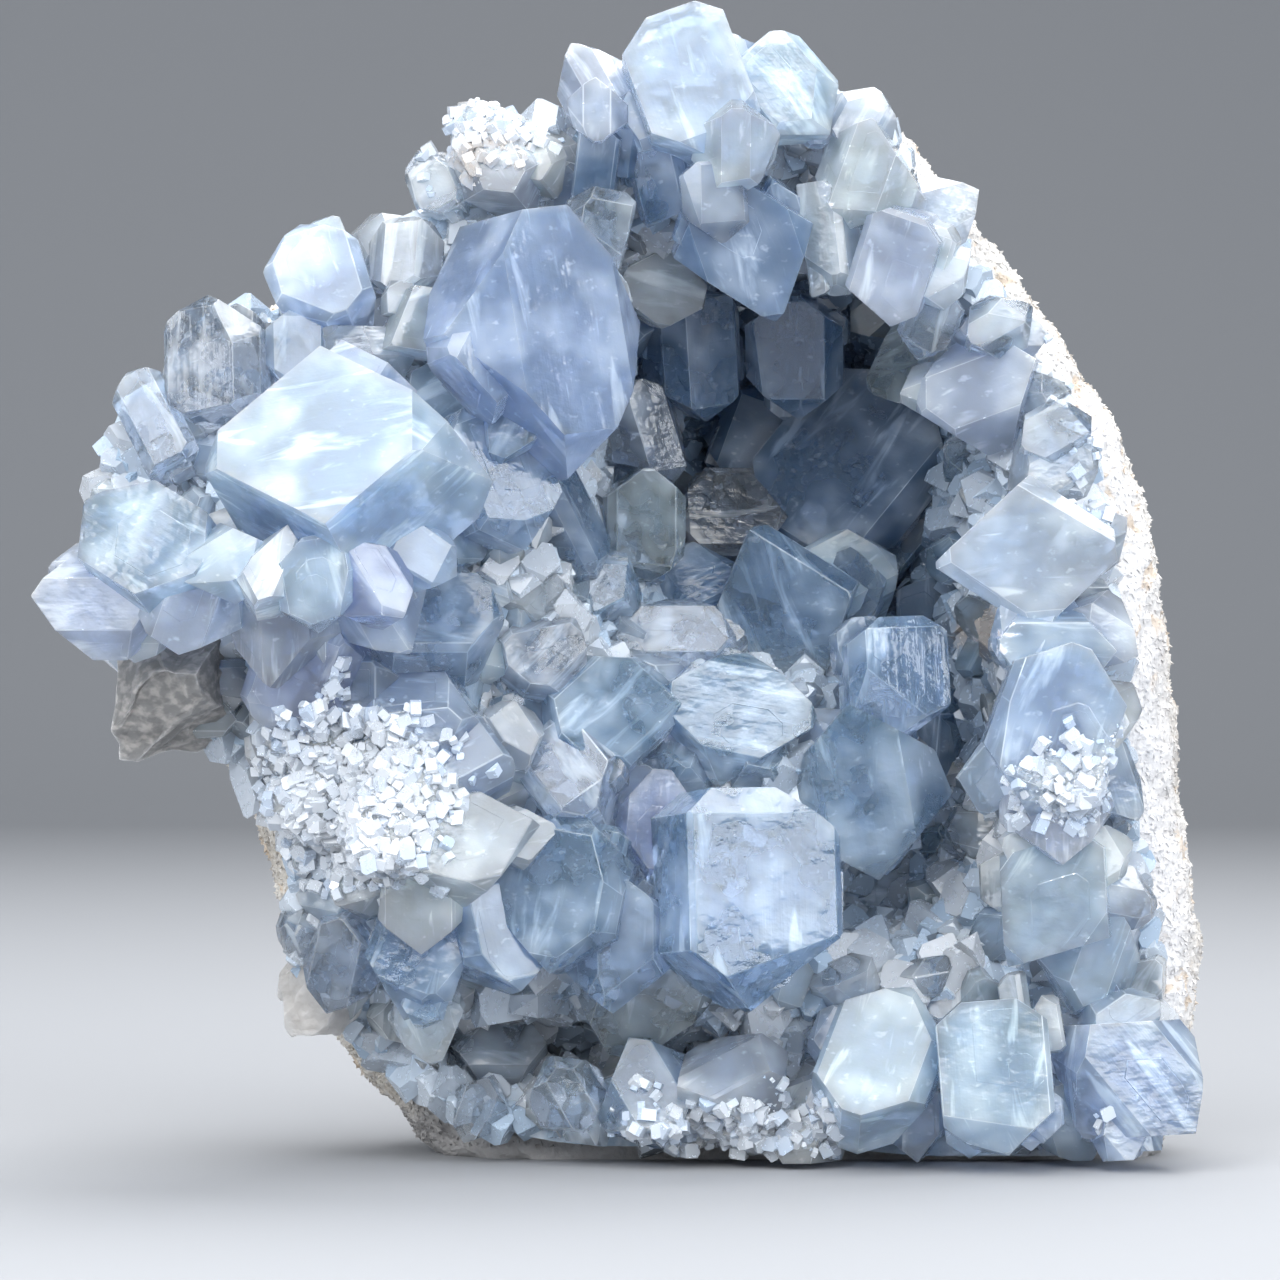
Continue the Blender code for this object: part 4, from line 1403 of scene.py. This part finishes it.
def set_light_paths(scene):
    """Enough bounces for clear crystal, no stray bright dots, and an early stop where the picture is smooth."""
    cycles = scene.cycles
    cycles.max_bounces = 7
    cycles.diffuse_bounces = 2
    cycles.glossy_bounces = 3
    cycles.transmission_bounces = 6
    cycles.volume_bounces = 0
    cycles.sample_clamp_indirect = 4.0
    cycles.blur_glossy = 1.0
    cycles.adaptive_threshold = 0.1
    scene.view_settings.view_transform = "Standard"


def add_camera():
    lens = bpy.data.cameras.new("camera")
    lens.lens = lens.sensor_width * CAMERA_AWAY / FRAME_WIDTH
    lens.clip_start = 0.01
    camera = bpy.data.objects.new("camera", lens)
    camera.location = (0.0, (-CAMERA_AWAY - FLAT_Y) * MM, FRAME_MIDDLE_Z * MM)
    camera.rotation_euler = (math.radians(90), 0.0, 0.0)
    bpy.context.scene.collection.objects.link(camera)
    bpy.context.scene.camera = camera


class GEODE_PT_panel(bpy.types.Panel):
    """Lists the geode's settings and its steps"""

    bl_idname = "GEODE_PT_panel"
    bl_label = "Celestite Geode"
    bl_space_type = "VIEW_3D"
    bl_region_type = "UI"
    bl_category = "Geode"

    def draw(self, context):
        settings = context.scene.geode
        for name in settings.bl_rna.properties.keys():
            if name not in {"rna_type", "name"}:
                self.layout.prop(settings, name)
        for step in STEPS:
            self.layout.operator(step.bl_idname)


STEPS = (
    GEODE_OT_rock,
    GEODE_OT_bed,
    GEODE_OT_crystals,
    GEODE_OT_druse,
    GEODE_OT_sugar,
    GEODE_OT_crumbs,
    GEODE_OT_stage,
)
CLASSES = (GeodeSettings, *STEPS, GEODE_PT_panel)


def register():
    for cls in CLASSES:
        bpy.utils.register_class(cls)
    bpy.types.Scene.geode = PointerProperty(type=GeodeSettings)


def unregister():
    del bpy.types.Scene.geode
    for cls in reversed(CLASSES):
        bpy.utils.unregister_class(cls)


def main():
    register()
    bpy.ops.geode.rock()
    bpy.ops.geode.bed()
    bpy.ops.geode.crystals()
    bpy.ops.geode.druse()
    bpy.ops.geode.sugar()
    bpy.ops.geode.crumbs()
    bpy.ops.geode.stage()
    boxes = {name: [list(corner) for corner in box] for name, box in (("cad", CAD_BOX), ("visual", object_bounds()))}


if __name__ == "__main__":
    main()
